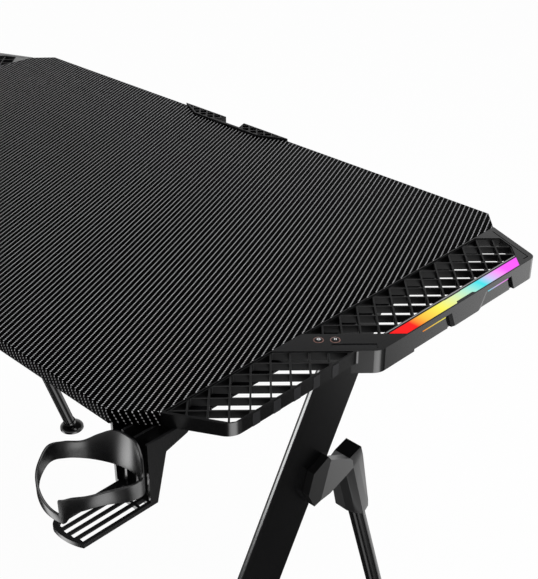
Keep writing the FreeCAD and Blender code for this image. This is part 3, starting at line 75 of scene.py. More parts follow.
# The studio as matt surfaces see it, and as glossy ones do: where the sky and the ground fade, by
# height of the ray, and the soft lights as direction, inner and outer angle in degrees, and level
AMBIENT = 0.4
SKY_FADE = (0.62, 0.32)
FLOOR_FADE = (-0.52, -0.36)
DIM_LEVEL = 0.04
SOFT_LIGHTS = (
    ((0.78, -0.17, -0.60), 6, 25, 5.0),
    ((-0.52, -0.60, -0.60), 5, 20, 5.0),
    ((0.10, 0.78, -0.62), 8, 22, 1.1),
    ((0.38, 0.80, -0.46), 6, 15, 1.15),
    ((0.70, 0.30, -0.65), 4, 16, 0.35),
    ((0.08, -0.35, -0.93), 4, 12, 1.6),
    ((0.58, 0.55, 0.60), 5, 16, 1.5))

# Softboxes: name, place, aim, side, power in watts, and for a rim light the nodes that take it
SOFTBOXES = (
    ("top_softbox", (0.75, 0.0, 3.2), (0.4, 0.0, 0.7), 2.4, 60.0, ()),
    ("leg_rim_softbox", (-1.42, -2.355, 1.29), (0.44, -0.15, 0.5), 1.0, 100.0, ("main_leg",)))

# The floor: how white the camera sees it, which leaves a trace of shadow, and how far it reaches
FLOOR_WHITE = 0.97
FLOOR_REACH = 9.0

# Where the wings' front walls end, in metres along the desk's depth, where they meet the bridge,
# and how far the corner's fillet stays under the top and reaches into the corner
FRONT_WALL_END = -0.08
BRIDGE_CORNER_Y = -0.0615
FILLET_DROP, FILLET_SINK = 0.8 * MM, 0.1 * MM

# How far the braces lean back
BRACE_LEAN = math.radians(16.8)

# Grain of a surface: detail and bump of the fine noise, then the slow clouds of shade over it:
# scale as a share of the grain's, detail, the span of noise used, and the shades that it gives
GRAIN_DETAIL, GRAIN_BUMP = 3.0, 0.35
CLOUD_SCALE, CLOUD_DETAIL = 0.06, 2.0
CLOUD_SPAN, CLOUD_SHADES = (0.3, 0.7), (0.9, 1.1)

# The film's dashes: where one fades out and is full, across in half widths and along in rows,
# and the strength and height of their relief
DASH_FADE, BEAD_FADE = (1.35, 0.55), (0.44, 0.2)
DASH_BUMP, DASH_RELIEF = 0.25, 0.08 * MM

# A face whose normal rises more than this is level, an edge that turns more than this is hard, and
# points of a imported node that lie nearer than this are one
LEVEL_RISE = 0.7
HARD_EDGE = math.radians(28)
WELD_REACH = 0.01 * MM

# Points round turned pieces and along the profiles' curves
ROUND_STEPS, FOOT_STEPS, THREAD_STEPS = 48, 64, 24
BOARD_EDGE_STEPS, CAP_EDGE_STEPS, CORNER_STEPS, FILLET_STEPS = 6, 7, 5, 12
RING_SECTION_STEPS, BAND_STEPS = 20, 220
DOME_STEPS, RIM_STRIDE = 14, 3
THREAD_RINGS = 7

# How square a button ring's section is, the printed bars' reach and spacing as shares of the mark's
# reach and line, and the rounding of a foot's lower edge as a share of its rim
RING_SQUARENESS = 0.6
BAR_REACH, BAR_SPACING = 0.85, 1.1
FOOT_ROUNDING = 0.25

# Light colours from the bar's front end to its back, by share of its length
LIGHT_STOPS = (
    (0.0, "#FF1A1A"), (0.135, "#FF1D1B"), (0.165, "#FF8A30"), (0.215, "#FFC543"),
    (0.34, "#FDF85E"), (0.44, "#E8F6A8"), (0.55, "#B4F0D8"), (0.655, "#3EE8F1"),
    (0.72, "#CCCDF7"), (0.80, "#FF98FD"), (0.85, "#FC60FF"), (1.0, "#FF5AFF"))

# The cup ring's band: angle in degrees, and rise and half height as shares of the ring's radius
RING_CURVE = (
    (-72, 0.0, 0.26), (-66, 0.03, 0.27), (-58, 0.165, 0.205), (-40, 0.28, 0.15),
    (-18, 0.31, 0.15), (5, 0.18, 0.18), (25, 0.03, 0.19), (45, -0.11, 0.21), (58, 0.0, 0.35),
    (72, 0.08, 0.40), (90, 0.06, 0.425), (112, 0.065, 0.42), (132, 0.015, 0.32),
    (150, -0.005, 0.215), (172, 0.115, 0.20), (195, 0.235, 0.195), (212, 0.16, 0.165),
    (232, 0.085, 0.15), (250, -0.01, 0.13), (264, -0.09, 0.115), (276, -0.135, 0.10),
    (292, -0.17, 0.094))


def linear(code):
    """An sRGB hex colour as linear red, green and blue."""
    levels = [int(code[i:i + 2], 16) / 255 for i in (1, 3, 5)]
    return tuple(c / 12.92 if c <= 0.04045 else ((c + 0.055) / 1.055) ** 2.4 for c in levels)


def size_mm(name, text, default):
    """A length that a user may change, given in millimetres."""
    return bpy.props.FloatProperty(name=name, description=text, default=default * MM,
                                   unit="LENGTH", min=0.0, precision=5)


def colour(name, text, code):
    """A colour that a user may change, given as sRGB hex."""
    return bpy.props.FloatVectorProperty(name=name, description=text, subtype="COLOR", size=3,
                                         min=0.0, max=1.0, default=linear(code))


class DeskSizes(bpy.types.PropertyGroup):
    """Sizes of the details."""
    film_pitch: size_mm("Film dash spacing", "From dash to dash along the board's length", 6.713)
    film_row: size_mm("Film row", "Depth of one woven row of the film", 2.602)
    film_shift: size_mm("Film shift", "How far each row of dashes steps left of the last", 1.175)
    film_dash: size_mm("Film dash", "Width of one light dash", 1.05)
    board_edge: size_mm("Board edge", "Radius of the board's wrapped upper edge", 2.0)
    board_foot: size_mm("Board lower edge", "Radius of the board's lower edge", 1.0)
    front_cut_along: size_mm("Front corner along", "Cut corner, along the front edge", 37.5)
    front_cut_across: size_mm("Front corner across", "Cut corner, along the end", 32.0)
    back_cut_along: size_mm("Back corner along", "Cut corner, along the back edge", 27.0)
    back_cut_across: size_mm("Back corner across", "Cut corner, along the end", 29.0)
    notch_mouth: size_mm("Notch mouth", "Cable notch at the back edge", 222.0)
    notch_floor: size_mm("Notch floor", "Cable notch at its inner end", 135.0)
    notch_depth: size_mm("Notch depth", "Depth of the cable notch", 21.0)
    button_radius: size_mm("Button", "Radius of a button's cap", 4.0)
    button_edge: size_mm("Button edge", "Radius of the cap's upper edge", 0.6)
    ring_wide: size_mm("Button ring", "Width of the ring round a button", 1.1)
    ring_gap: size_mm("Ring gap", "Gap between a button's cap and its ring", 0.3)
    mark_reach: size_mm("Button mark", "Reach of the printed mark from the cap's middle", 1.9)
    mark_line: size_mm("Mark line", "Line width of the printed mark", 0.75)
    print_thick: size_mm("Print", "Thickness of the print on the buttons", 0.05)
    cup_radius: size_mm("Cup ring", "Outer radius of the cup holder's ring", 48.0)
    cup_thick: size_mm("Cup ring thickness", "Wall of the cup holder's ring", 2.6)
    cup_edge: size_mm("Cup ring edge", "Radius of the ring's edges", 0.9)
    cup_middle: size_mm("Cup ring height", "Height of the ring's middle line over the floor", 719.0)
    boss_side: size_mm("Ring boss", "Side of the flat boss between ring and arm", 26.0)
    boss_corner: size_mm("Boss corner", "Corner radius of the boss behind the cup ring", 3.0)
    foot_rim: size_mm("Foot rim", "Height of the foot's upright rim", 4.0)
    foot_neck: size_mm("Foot neck", "Radius of the foot's flat top", 9.0)
    stud_radius: size_mm("Stud", "Outer radius of a foot's threaded stud", 4.0)
    thread_pitch: size_mm("Thread pitch", "Distance between the stud's threads", 1.25)
    thread_depth: size_mm("Thread depth", "Depth of the stud's threads", 0.6)
    front_wall: size_mm("Front wall", "From the desk's middle to the wings' front walls", 549.5)
    # The ribs' faces are painted paler than the wall: a painted sheen
    rib_skin: size_mm("Rib skin", "How far a wall rib stands out before its rubbed face", 0.1)
    corner_fillet: size_mm("Corner fillet", "Fillet between a wing's front wall and bridge", 5.0)
    # Under this depth the groove's floor loses its reflection: a painted shade of the groove
    groove_skin: size_mm("Groove", "How far under the top the wings' fine groove is dull", 0.4)
    # The light bar's dark inner edge is a painted shade of the gap between bar and rim
    light_edge: size_mm("Light edge", "Dark inner edge of the light bar", 1.8)
    # The rim along the light bar is painted pale grey: a painted highlight
    light_rim: size_mm("Light rim", "Paler rim of the wing along the light bar", 1.5)
    # The real grain of such mouldings is some tenths of a millimetre: drawn coarser, so it shows
    moulding_grain: size_mm("Moulding grain", "Grain of the textured mouldings", 0.9)
    coat_grain: size_mm("Coat grain", "Orange peel of the powder coat", 2.2)


class DeskColours(bpy.types.PropertyGroup):
    """Colours of the finishes."""
    film_black: colour("Film ground", "Ground of the woven film", "#010101")
    film_thread: colour("Film dash", "Light dashes of the woven film", "#B6B6B8")
    moulding: colour("Wing moulding", "Moulded plastic of the wings", "#080809")
    lattice: colour("Lattice", "Moulded plastic of the lattice panels", "#09090A")
    steel_coat: colour("Powder coat", "Coat of the steel legs and frame", "#060607")
    casting: colour("Knuckle", "Moulded plastic of the knuckles", "#0A0A0B")
    cup_plastic: colour("Cup holder", "Moulded plastic of the cup holder", "#0B0B0C")
    # Painted sheen on the ribs' faces and painted highlight on the rim along the light bar
    rib_sheen_paint: colour("Wall ribs", "Paler upright ribs of the wings' front walls", "#2E2E30")
    rim_highlight_paint: colour("Paler rim", "Rim along the light bar", "#8A8A8C")
    mark: colour("Button mark", "Print on the buttons", "#E6E6E8")
    ring: colour("Button ring", "Anodised ring round each button", "#C69A90")


def sizes():
    """The sizes in use."""
    return bpy.context.scene.desk_sizes


def colours():
    """The colours in use."""
    return bpy.context.scene.desk_colours


# Materials

def add(tree, kind, inputs=None, **settings):
    """Adds a shader node: settings are its properties, and an input is a value, a socket or a
    node's first output."""
    made = tree.nodes.new("ShaderNode" + kind)
    for key, value in settings.items():
        setattr(made, key, value)
    for key, value in (inputs or {}).items():
        if isinstance(value, bpy.types.Node):
            value = value.outputs[0]
        if isinstance(value, bpy.types.NodeSocket):
            tree.links.new(value, made.inputs[key])
        else:
            made.inputs[key].default_value = value
    return made


def finish(name, base, roughness, **sockets):
    """A material with one Principled shader: base is a colour, sockets are constants by name."""
    made = bpy.data.materials.new(name)
    made.use_nodes = True
    shader = made.node_tree.nodes["Principled BSDF"]
    shader.inputs["Base Color"].default_value = (*base, 1.0)
    shader.inputs["Roughness"].default_value = roughness
    for key, value in sockets.items():
        shader.inputs[key.replace("_", " ")].default_value = value
    return made, made.node_tree, shader


def grained(name, base, roughness, grain, depth=0.01 * MM, spread=0.05, **sockets):
    """A moulded or coated surface: noise of one grain size gives it a bump of some depth and a
    spread of roughness, and slow clouds a little change of shade."""
    made, tree, shader = finish(name, base, roughness, **sockets)
    place = add(tree, "TexCoord").outputs["Object"]
    noise = add(tree, "TexNoise", {"Vector": place, "Scale": 1.0 / grain, "Detail": GRAIN_DETAIL})
    gloss = add(tree, "MapRange", {"Value": noise.outputs["Fac"], "To Min": roughness - spread,
                                   "To Max": roughness + spread})
    cloud = add(tree, "TexNoise", {"Vector": place, "Scale": CLOUD_SCALE / grain,
                                   "Detail": CLOUD_DETAIL})
    shade = add(tree, "MapRange", {
        "Value": cloud.outputs["Fac"], "From Min": CLOUD_SPAN[0], "From Max": CLOUD_SPAN[1],
        "To Min": CLOUD_SHADES[0], "To Max": CLOUD_SHADES[1]})
    tint = add(tree, "VectorMath", {0: base, "Scale": shade.outputs["Result"]}, operation="SCALE")
    bump = add(tree, "Bump", {"Height": noise.outputs["Fac"], "Strength": GRAIN_BUMP,
                              "Distance": depth})
    tree.links.new(gloss.outputs["Result"], shader.inputs["Roughness"])
    tree.links.new(tint.outputs["Vector"], shader.inputs["Base Color"])
    tree.links.new(bump.outputs["Normal"], shader.inputs["Normal"])
    return made


def woven_film():
    """PVC film with a woven print: rows of light dashes that step sideways make slanted, beaded
    lines. The matt print takes almost no reflection, so its IOR lies far under clear PVC's."""
    size, tone = sizes(), colours()
    made, tree, shader = finish("pvc_film_woven_print", tone.film_black, roughness=0.5, IOR=1.05)
    flat = add(tree, "SeparateXYZ", {0: add(tree, "UVMap", uv_map="film")}).outputs
    row = add(tree, "Math", {0: flat["Y"], 1: size.film_row}, operation="DIVIDE")
    step = add(tree, "Math", {0: row}, operation="FLOOR")
    step = add(tree, "Math", {0: step, 1: size.film_shift}, operation="MULTIPLY")
    along = add(tree, "Math", {0: flat["X"], 1: step})
    along = add(tree, "Math", {0: along, 1: size.film_pitch}, operation="DIVIDE")
    # Distance from the middle of the dash and of the row, as shares of one spacing
    half = size.film_dash / size.film_pitch / 2
    masks = []
    for share, outer, inner in ((along, half * DASH_FADE[0], half * DASH_FADE[1]),
                                (row, *BEAD_FADE)):
        for work in ("FRACT", "SUBTRACT", "ABSOLUTE"):
            share = add(tree, "Math", {0: share, 1: 0.5}, operation=work)
        masks.append(add(tree, "MapRange", {"Value": share, "From Min": outer, "From Max": inner},
                         interpolation_type="SMOOTHSTEP"))
    thread = add(tree, "Math", dict(enumerate(masks)), operation="MULTIPLY")
    blend = add(tree, "MixRGB", {"Fac": thread, "Color1": (*tone.film_black, 1.0),
                                 "Color2": (*tone.film_thread, 1.0)})
    tree.links.new(blend.outputs["Color"], shader.inputs["Base Color"])
    bump = add(tree, "Bump", {"Height": thread, "Strength": DASH_BUMP, "Distance": DASH_RELIEF})
    tree.links.new(bump.outputs["Normal"], shader.inputs["Normal"])
    return made


def melamine():
    """Melamine paper on the board's underside: dull black with a faint paper grain."""
    return grained("melamine_backing", linear("#161617"), roughness=0.55, grain=1.5 * MM,
                   depth=0.03 * MM)


def light_acrylic(name, strength):
    """Frosted acrylic lit from below: the colour changes along the bar and glows as bright as it is
    written. The glow stops short of the bar's inner edge, so a dark strip stays there: a painted
    shade of the gap between bar and rim."""
    made, tree, shader = finish(name, linear("#050506"), roughness=0.45, Specular_IOR_Level=0.05)
    spot = add(tree, "SeparateXYZ", {0: add(tree, "TexCoord").outputs["Object"]}).outputs
    share = add(tree, "MapRange", {"Value": spot["Y"], "From Min": STRIP_LOW.y,
                                   "From Max": STRIP_HIGH.y})
    ramp = add(tree, "ValToRGB", {"Fac": share})
    stops = ramp.color_ramp.elements
    while len(stops) < len(LIGHT_STOPS):
        stops.new(0.5)
    for stop, (along, code) in zip(stops, LIGHT_STOPS):
        stop.position = along
        stop.color = (*linear(code), 1.0)
    # No glow on a strip along the inner edge: a painted shade of the gap between bar and rim
    reach = add(tree, "Math", {0: spot["X"]}, operation="ABSOLUTE")
    wide = sizes().light_edge
    edge = STRIP_LOW.x + wide
    inside = add(tree, "MapRange", {"Value": reach, "From Min": edge, "From Max": edge + wide / 2},
                 interpolation_type="SMOOTHSTEP")
    glow = add(tree, "MixRGB", {"Fac": inside, "Color1": BLACK, "Color2": ramp})
    tree.links.new(glow.outputs["Color"], shader.inputs["Emission Color"])
    shader.inputs["Emission Strength"].default_value = strength
    return made


def wing_abs():
    """Black ABS, moulded with a fine spark grain: satin. The ribs' faces on the front walls are
    painted paler, a painted sheen, and the rim along the light bar pale grey, a painted highlight;
    the floor of the fine groove is made fully rough and loses its reflection, a painted shade of the
    groove."""
    size, tone = sizes(), colours()
    made = grained("moulded_abs_black", tone.moulding, roughness=0.19, grain=size.moulding_grain,
                   depth=0.006 * MM, spread=0.04)
    tree = made.node_tree
    inputs = tree.nodes["Principled BSDF"].inputs
    base, gloss, shine = inputs["Base Color"], inputs["Roughness"], inputs["Specular IOR Level"]
    spot = add(tree, "SeparateXYZ", {0: add(tree, "TexCoord").outputs["Object"]}).outputs
    reach = add(tree, "Math", {0: spot["X"]}, operation="ABSOLUTE")
    facing = add(tree, "SeparateXYZ", {0: add(tree, "NewGeometry").outputs["Normal"]}).outputs
    level = add(tree, "Math", {0: facing["Z"], 1: LEVEL_RISE}, operation="GREATER_THAN")
    # A rib's face stands proud of the front wall, and ahead of the wall's end
    proud = add(tree, "Math", {0: reach, 1: size.front_wall + size.rib_skin},
                operation="GREATER_THAN")
    ahead = add(tree, "Math", {0: spot["Y"], 1: FRONT_WALL_END}, operation="LESS_THAN")
    rib = add(tree, "Math", {0: proud, 1: ahead}, operation="MULTIPLY")
    # The rim is a level strip beside the light bar, as long as the bar
    half = size.light_rim / 2
    beside = add(tree, "Math", {0: reach, 1: STRIP_LOW.x - half, 2: half}, operation="COMPARE")
    along = add(tree, "Math", {0: spot["Y"], 1: (STRIP_LOW.y + STRIP_HIGH.y) / 2,
                               2: (STRIP_HIGH.y - STRIP_LOW.y) / 2}, operation="COMPARE")
    rim = add(tree, "Math", {0: beside, 1: along}, operation="MULTIPLY")
    rim = add(tree, "Math", {0: rim, 1: level}, operation="MULTIPLY")
    # Painted light: the ribs' faces take a paler colour, a painted sheen, and the rim a pale grey, a
    # painted highlight
    for paler, pale in ((rib, tone.rib_sheen_paint), (rim, tone.rim_highlight_paint)):
        blend = add(tree, "MixRGB", {"Fac": paler, "Color1": base.links[0].from_socket,
                                     "Color2": (*pale, 1.0)})
        tree.links.new(blend.outputs["Color"], base)
    # The groove's floor is level and lies under the top: there the surface is made fully rough and
    # loses its reflection, a painted shade of the deep groove
    sunk = add(tree, "Math", {0: spot["Z"], 1: BOARD_HIGH.z - size.groove_skin},
               operation="LESS_THAN")
    dull = add(tree, "Math", {0: level, 1: sunk}, operation="MULTIPLY")
    rough = add(tree, "Math", {0: gloss.links[0].from_socket, 1: dull}, operation="MAXIMUM")
    tree.links.new(rough.outputs[0], gloss)
    faded = add(tree, "MapRange", {"Value": dull, "To Min": shine.default_value, "To Max": 0.0})
    tree.links.new(faded.outputs["Result"], shine)
    return made


# Pieces

def both(*names):
    """Node names with the right and left side put in front."""
    return [f"{side}_{name}" for name in names for side in SIDES]


def dress(names, material):
    """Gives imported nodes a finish."""
    for name in names:
        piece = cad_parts[name]
        if not piece.material_slots:
            piece.data.materials.append(material)
        for holder in piece.material_slots:
            holder.material = material


def soften(names, radius, segments=2):
    """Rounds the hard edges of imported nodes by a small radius, with modifiers only."""
    for name in names:
        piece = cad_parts[name]
        weld = piece.modifiers.new("join_triangles", "WELD")
        weld.merge_threshold = WELD_REACH
        bevel = piece.modifiers.new("edge_radius", "BEVEL")
        bevel.width = radius
        bevel.segments = segments
        bevel.limit_method = "ANGLE"
        bevel.angle_limit = HARD_EDGE
        bevel.harden_normals = True
        shade = piece.modifiers.new("even_shading", "WEIGHTED_NORMAL")
        shade.mode = "FACE_AREA_WITH_ANGLE"
        shade.keep_sharp = True


def add_piece(name, points, faces, materials, slot, replaced=(), body="desk", sharp=35.0):
    """A mesh object at the origin from an array of points and arrays of faces, riding on a body;
    edges that turn by more than sharp degrees stay sharp."""
    mesh = bpy.data.meshes.new(name)
    mesh.from_pydata(np.asarray(points, float).reshape(-1, 3).tolist(), [],
                     [face for block in faces for face in block.tolist()])
    form = bmesh.new()
    form.from_mesh(mesh)
    bmesh.ops.recalc_face_normals(form, faces=form.faces)
    form.to_mesh(mesh)
    form.free()
    for material in materials:
        mesh.materials.append(material)
    mesh.shade_smooth()
    mesh.set_sharp_from_angle(angle=math.radians(sharp))
    piece = bpy.data.objects.new(name, mesh)
    bpy.context.scene.collection.objects.link(piece)
    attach(piece, body)
    if replaced:
        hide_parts(*replaced)
    return piece


def ring_faces(rings, count, closed=False):
    """Quads between rings of points that lie one after another; closed joins the last ring to the
    first."""
    k, i = np.meshgrid(np.arange(rings if closed else rings - 1), np.arange(count), indexing="ij")
    j = (i + 1) % count
    m = (k + 1) % rings
    return np.stack([k * count + i, m * count + i, m * count + j, k * count + j], -1).reshape(-1, 4)


def capped_faces(rings, count):
    """Quads between rings, one flat face over the first ring and one over the last."""
    cap = np.arange(count)[None]
    return [ring_faces(rings, count), cap, cap[:, ::-1] + (rings - 1) * count]


def joined(parts):
    """Several sets of points and faces as one."""
    starts = np.cumsum([0] + [len(points) for points, _ in parts])
    faces = [block + start for (_, blocks), start in zip(parts, starts) for block in blocks]
    return np.concatenate([points for points, _ in parts]), faces


def lifted(rings, heights):
    """Rings of flat points in space, each ring at its own height."""
    tall = np.broadcast_to(np.asarray(heights)[:, None, None], (*rings.shape[:2], 1))
    return np.concatenate([rings, tall], -1).reshape(-1, 3)


def turned(radii, heights, middle, count=ROUND_STEPS):
    """A profile turned about an upright line: x = mx + r cos t, y = my + r sin t, z = h, one ring
    per profile point."""
    turn = np.arange(count) * (FULL / count)
    rings = np.stack([np.cos(turn), np.sin(turn)], -1) * np.asarray(radii)[:, None, None]
    return lifted(rings + np.asarray(middle)[:2], heights)


def smooth_through(at, knots, values):
    """A smooth curve through values at knots: cubic pieces whose slopes are those of the
    neighbouring knots."""
    slopes = np.gradient(values, knots)
    spot = np.clip(np.searchsorted(knots, at, side="right") - 1, 0, len(knots) - 2)
    run = knots[spot + 1] - knots[spot]
    t = (at - knots[spot]) / run
    return ((2 * t ** 3 - 3 * t ** 2 + 1) * values[spot]
            + (t ** 3 - 2 * t ** 2 + t) * run * slopes[spot]
            + (3 * t ** 2 - 2 * t ** 3) * values[spot + 1]
            + (t ** 3 - t ** 2) * run * slopes[spot + 1])


def rounded_corners(radius):
    """A rectangle's four rounded corners: the sign of each point's corner, and its place on that
    corner's arc."""
    turn = (np.arange(4)[:, None] + np.linspace(0, 1, CORNER_STEPS)[None]) * QUARTER
    signs = np.repeat([(1, 1), (-1, 1), (-1, -1), (1, -1)], CORNER_STEPS, 0)
    return signs, radius * np.stack([np.cos(turn), np.sin(turn)], -1).reshape(-1, 2)


def edge_normals(plan):
    """Outward normals of a plan that runs anticlockwise, one for each edge to the next point."""
    run = np.roll(plan, -1, 0) - plan
    run /= np.linalg.norm(run, axis=1)[:, None]
    return np.stack([run[:, 1], -run[:, 0]], -1)


def mitres(plan):
    """For each corner, the move that brings both of its edges in by one."""
    after = edge_normals(plan)
    before = np.roll(after, 1, 0)
    return -(before + after) / (1 + (before * after).sum(1))[:, None]


class DESK_OT_stage(bpy.types.Operator):
    """Makes the pale floor, the studio light, the white background and the camera"""
    bl_idname = "desk.stage"
    bl_label = "Stage and camera"

    def execute(self, context):
        scene = context.scene
        scene.view_settings.view_transform = "Standard"
        self.background(scene)
        self.floor(scene)
        for row in SOFTBOXES:
            self.softbox(scene, *row)
        self.camera(scene)
        return {"FINISHED"}

    def straight(self, tree, path):
        """1 for a ray of the camera and for one through glass, else 0."""
        return add(tree, "Math", {0: path["Is Camera Ray"], 1: path["Is Transmission Ray"]},
                   operation="MAXIMUM")

    def background(self, scene):
        """White to the camera and through glass; in reflections a white horizon, a soft sky and a
        few soft lights."""
        world = bpy.data.worlds.new("studio")
        world.use_nodes = True
        tree = world.node_tree
        path = add(tree, "LightPath").outputs
        way = add(tree, "TexCoord").outputs["Generated"]
        up = add(tree, "SeparateXYZ", {0: way}).outputs["Z"]
        sky, ground = (
            add(tree, "MapRange", {"Value": up, "From Min": low, "From Max": high},
                interpolation_type="SMOOTHSTEP") for low, high in (SKY_FADE, FLOOR_FADE))
        level = add(tree, "Math", {0: sky, 1: ground}, operation="MULTIPLY")
        level = add(tree, "MapRange", {"Value": level, "To Min": DIM_LEVEL})
        for aim, inner, outer, power in SOFT_LIGHTS:
            near = add(tree, "VectorMath", {0: way, 1: Vector(aim).normalized()},
                       operation="DOT_PRODUCT")
            lobe = add(tree, "MapRange", {
                "Value": near.outputs["Value"], "From Min": math.cos(math.radians(outer)),
                "From Max": math.cos(math.radians(inner)), "To Max": power},
                interpolation_type="SMOOTHSTEP")
            level = add(tree, "Math", {0: level, 1: lobe})
        plain = add(tree, "MapRange", {"Value": self.straight(tree, path), "To Min": AMBIENT})
        total = add(tree, "Mix", {"Factor": path["Is Glossy Ray"], 2: plain, 3: level})
        tree.nodes["Background"].inputs["Color"].default_value = WHITE
        tree.links.new(total.outputs[0], tree.nodes["Background"].inputs["Strength"])
        scene.world = world

    def floor(self, scene):
        """A pale plane: white to the camera with a trace of the desk's soft shadow; reflections
        show the studio."""
        made, tree, shader = finish("pale_floor", linear("#F4F4F4"), roughness=0.8,
                                    Specular_IOR_Level=0.1)
        clear = self.straight(tree, add(tree, "LightPath").outputs)
        glow = add(tree, "Emission", {"Color": WHITE, "Strength": 1.0})
        share = add(tree, "Math", {0: clear, 1: FLOOR_WHITE}, operation="MULTIPLY")
        mix = add(tree, "MixShader", {0: share, 1: shader, 2: glow})
        tree.links.new(mix.outputs[0], tree.nodes["Material Output"].inputs["Surface"])
        mesh = bpy.data.meshes.new("floor")
        corners = [(x * FLOOR_REACH, y * FLOOR_REACH, 0)
                   for x, y in ((-1, -1), (1, -1), (1, 1), (-1, 1))]
        mesh.from_pydata(corners, [], [(0, 1, 2, 3)])
        mesh.materials.append(made)
        floor = bpy.data.objects.new("floor", mesh)
        floor.visible_glossy = False
        scene.collection.objects.link(floor)

    def put(self, scene, holder, place, ahead):
        """Sets a lamp or the camera at its place, looking ahead."""
        holder.location = place
        holder.rotation_mode = "QUATERNION"
        holder.rotation_quaternion = ahead.to_track_quat("-Z", "Y")
        scene.collection.objects.link(holder)

    def softbox(self, scene, name, place, aim, side, power, rims):
        """A square lamp that the camera doesn't see; one with rims shows on those nodes alone, and
        only as a reflection."""
        lamp = bpy.data.lights.new(name, "AREA")
        lamp.shape = "RECTANGLE"
        lamp.size = lamp.size_y = side
        lamp.energy = power
        holder = bpy.data.objects.new(name, lamp)
        holder.visible_camera = False
        self.put(scene, holder, place, Vector(aim) - Vector(place))
        if rims:
            holder.visible_diffuse = False
            takers = bpy.data.collections.new(f"{name}_takers")
            holder.light_linking.receiver_collection = takers
            for node in both(*rims):
                takers.objects.link(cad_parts[node])

    def camera(self, scene):
        """The camera at the photograph's place; its sensor spans the longer side of the frame."""
        lens = bpy.data.cameras.new("photo_camera")
        lens.sensor_width = SENSOR_MM
        lens.lens = FOCAL_PIXELS / max(PHOTO_WIDE, PHOTO_TALL) * SENSOR_MM
        lens.clip_start, lens.clip_end = CLIP_NEAR, CLIP_FAR
        holder = bpy.data.objects.new("photo_camera", lens)
        turn, lift = math.radians(CAMERA_AZIMUTH), math.radians(CAMERA_ELEVATION)
        ahead = Vector((-math.sin(turn) * math.cos(lift), math.cos(turn) * math.cos(lift),
                        -math.sin(lift)))
        self.put(scene, holder, CAMERA_PLACE, ahead)
        scene.camera = holder


class DESK_OT_board(bpy.types.Operator):
    """Makes the board with its wrapped film"""
    bl_idname = "desk.board"
    bl_label = "Board and film"

    def plan(self):
        """The board's plan, anticlockwise: cut corners and the cable notch, the left half
        mirrored."""
        size = sizes()
        x, y = BOARD_HIGH.x, BOARD_HIGH.y
        right = np.array([(x - size.front_cut_along, -y), (x, -y + size.front_cut_across),
                          (x, y - size.back_cut_across), (x - size.back_cut_along, y),
                          (size.notch_mouth / 2, y), (size.notch_floor / 2, y - size.notch_depth)])
        return np.concatenate([right, right[::-1] * (-1, 1)])

    def execute(self, context):
        """An edge profile with a round upper and lower edge, carried round the plan and capped."""
        size = sizes()
        plan = self.plan()
        count = len(plan)
        turn = np.linspace(0, QUARTER, BOARD_EDGE_STEPS)
        top, foot = size.board_edge, size.board_foot
        inset = np.concatenate([top * (1 - np.sin(turn)), foot * (1 - np.cos(turn))])
        rise = np.concatenate([BOARD_HIGH.z - top * (1 - np.cos(turn)),
                               BOARD_LOW.z + foot * (1 - np.sin(turn))])
        spots = plan[None] + inset[:, None, None] * mitres(plan)[None]
        board = add_piece("board_with_film", lifted(spots, rise), capped_faces(len(rise), count),
                          [woven_film(), melamine()], "carbon_look_top", ("desktop",), sharp=25.0)
        board.data.polygons[-1].material_index = 1
        # The film's own plane: the top as it lies, and each edge folded out beside it
        path = np.concatenate([[0.0], np.cumsum(np.hypot(np.diff(inset), np.diff(rise)))]) - top
        facing = edge_normals(plan)
        level = np.abs(facing[:, 1]) >= np.abs(facing[:, 0])
        out = np.where(level[:, None], np.sign(facing) * (0, 1), np.sign(facing) * (1, 0))
        k, i = np.meshgrid(np.arange(len(rise) - 1), np.arange(count), indexing="ij")
        j = (i + 1) % count
        fold = [plan[a] + out[i] * path[b][..., None]
                for a, b in ((i, k), (i, k + 1), (j, k + 1), (j, k))]
        walls = np.stack(fold, -2).reshape(-1, 2)
        flat = np.concatenate([walls, spots[0], spots[-1][::-1]])
        layer = board.data.uv_layers.new(name="film")
        layer.data.foreach_set("uv", flat.astype(np.float32).ravel())
        return {"FINISHED"}


class DESK_OT_wings(bpy.types.Operator):
    """Finishes the wing shells and the covers under them, and fillets their inner corners"""
    bl_idname = "desk.wings"
    bl_label = "Wing shells"

    def fillet(self, side):
        """A hollow fillet in the upright corner where the front wall meets the bridge: an arc that
        touches both walls, closed behind at the corner, carried upwards. Its middle lies on the
        line that halves the walls' angle."""
        size = sizes()
        radius = size.corner_fillet
        corner = np.array((size.front_wall, BRIDGE_CORNER_Y))
        # The walls run from the corner straight to the front, and outwards and back at 45 degrees
        walls = np.array(((0.0, -1.0), (math.sqrt(0.5), math.sqrt(0.5))))
        half = math.acos(float(walls[0] @ walls[1])) / 2
        aim = walls.sum(0) / np.linalg.norm(walls.sum(0))
        middle = corner + aim * radius / math.sin(half)
        touch = corner + walls * radius / math.tan(half) - middle
        turn = np.linspace(*np.arctan2(touch[:, 1], touch[:, 0]) % FULL, FILLET_STEPS)
        arc = middle + radius * np.stack([np.cos(turn), np.sin(turn)], -1)
        section = np.concatenate([arc, [corner - aim * FILLET_SINK]]) * (side, 1)
        points = lifted(np.stack([section] * 2), (BOARD_HIGH.z - FILLET_DROP, BOARD_LOW.z))
        return points, capped_faces(2, len(section))

    def execute(self, context):
        size, tone = sizes(), colours()
        dress(both("wing_shell", "light_cover", "control_cover"), wing_abs())
        soften(both("wing_shell"), radius=0.5 * MM)
        # Polished ABS with hardly any grain: the fillet takes a clear upright highlight
        clear = grained("moulded_abs_polished", tone.moulding, roughness=0.12,
                        grain=size.moulding_grain, depth=0.001 * MM, spread=0.02)
        add_piece("corner_fillets", *joined([self.fillet(side) for side in (1, -1)]), [clear],
                  "black_moulding")
        return {"FINISHED"}


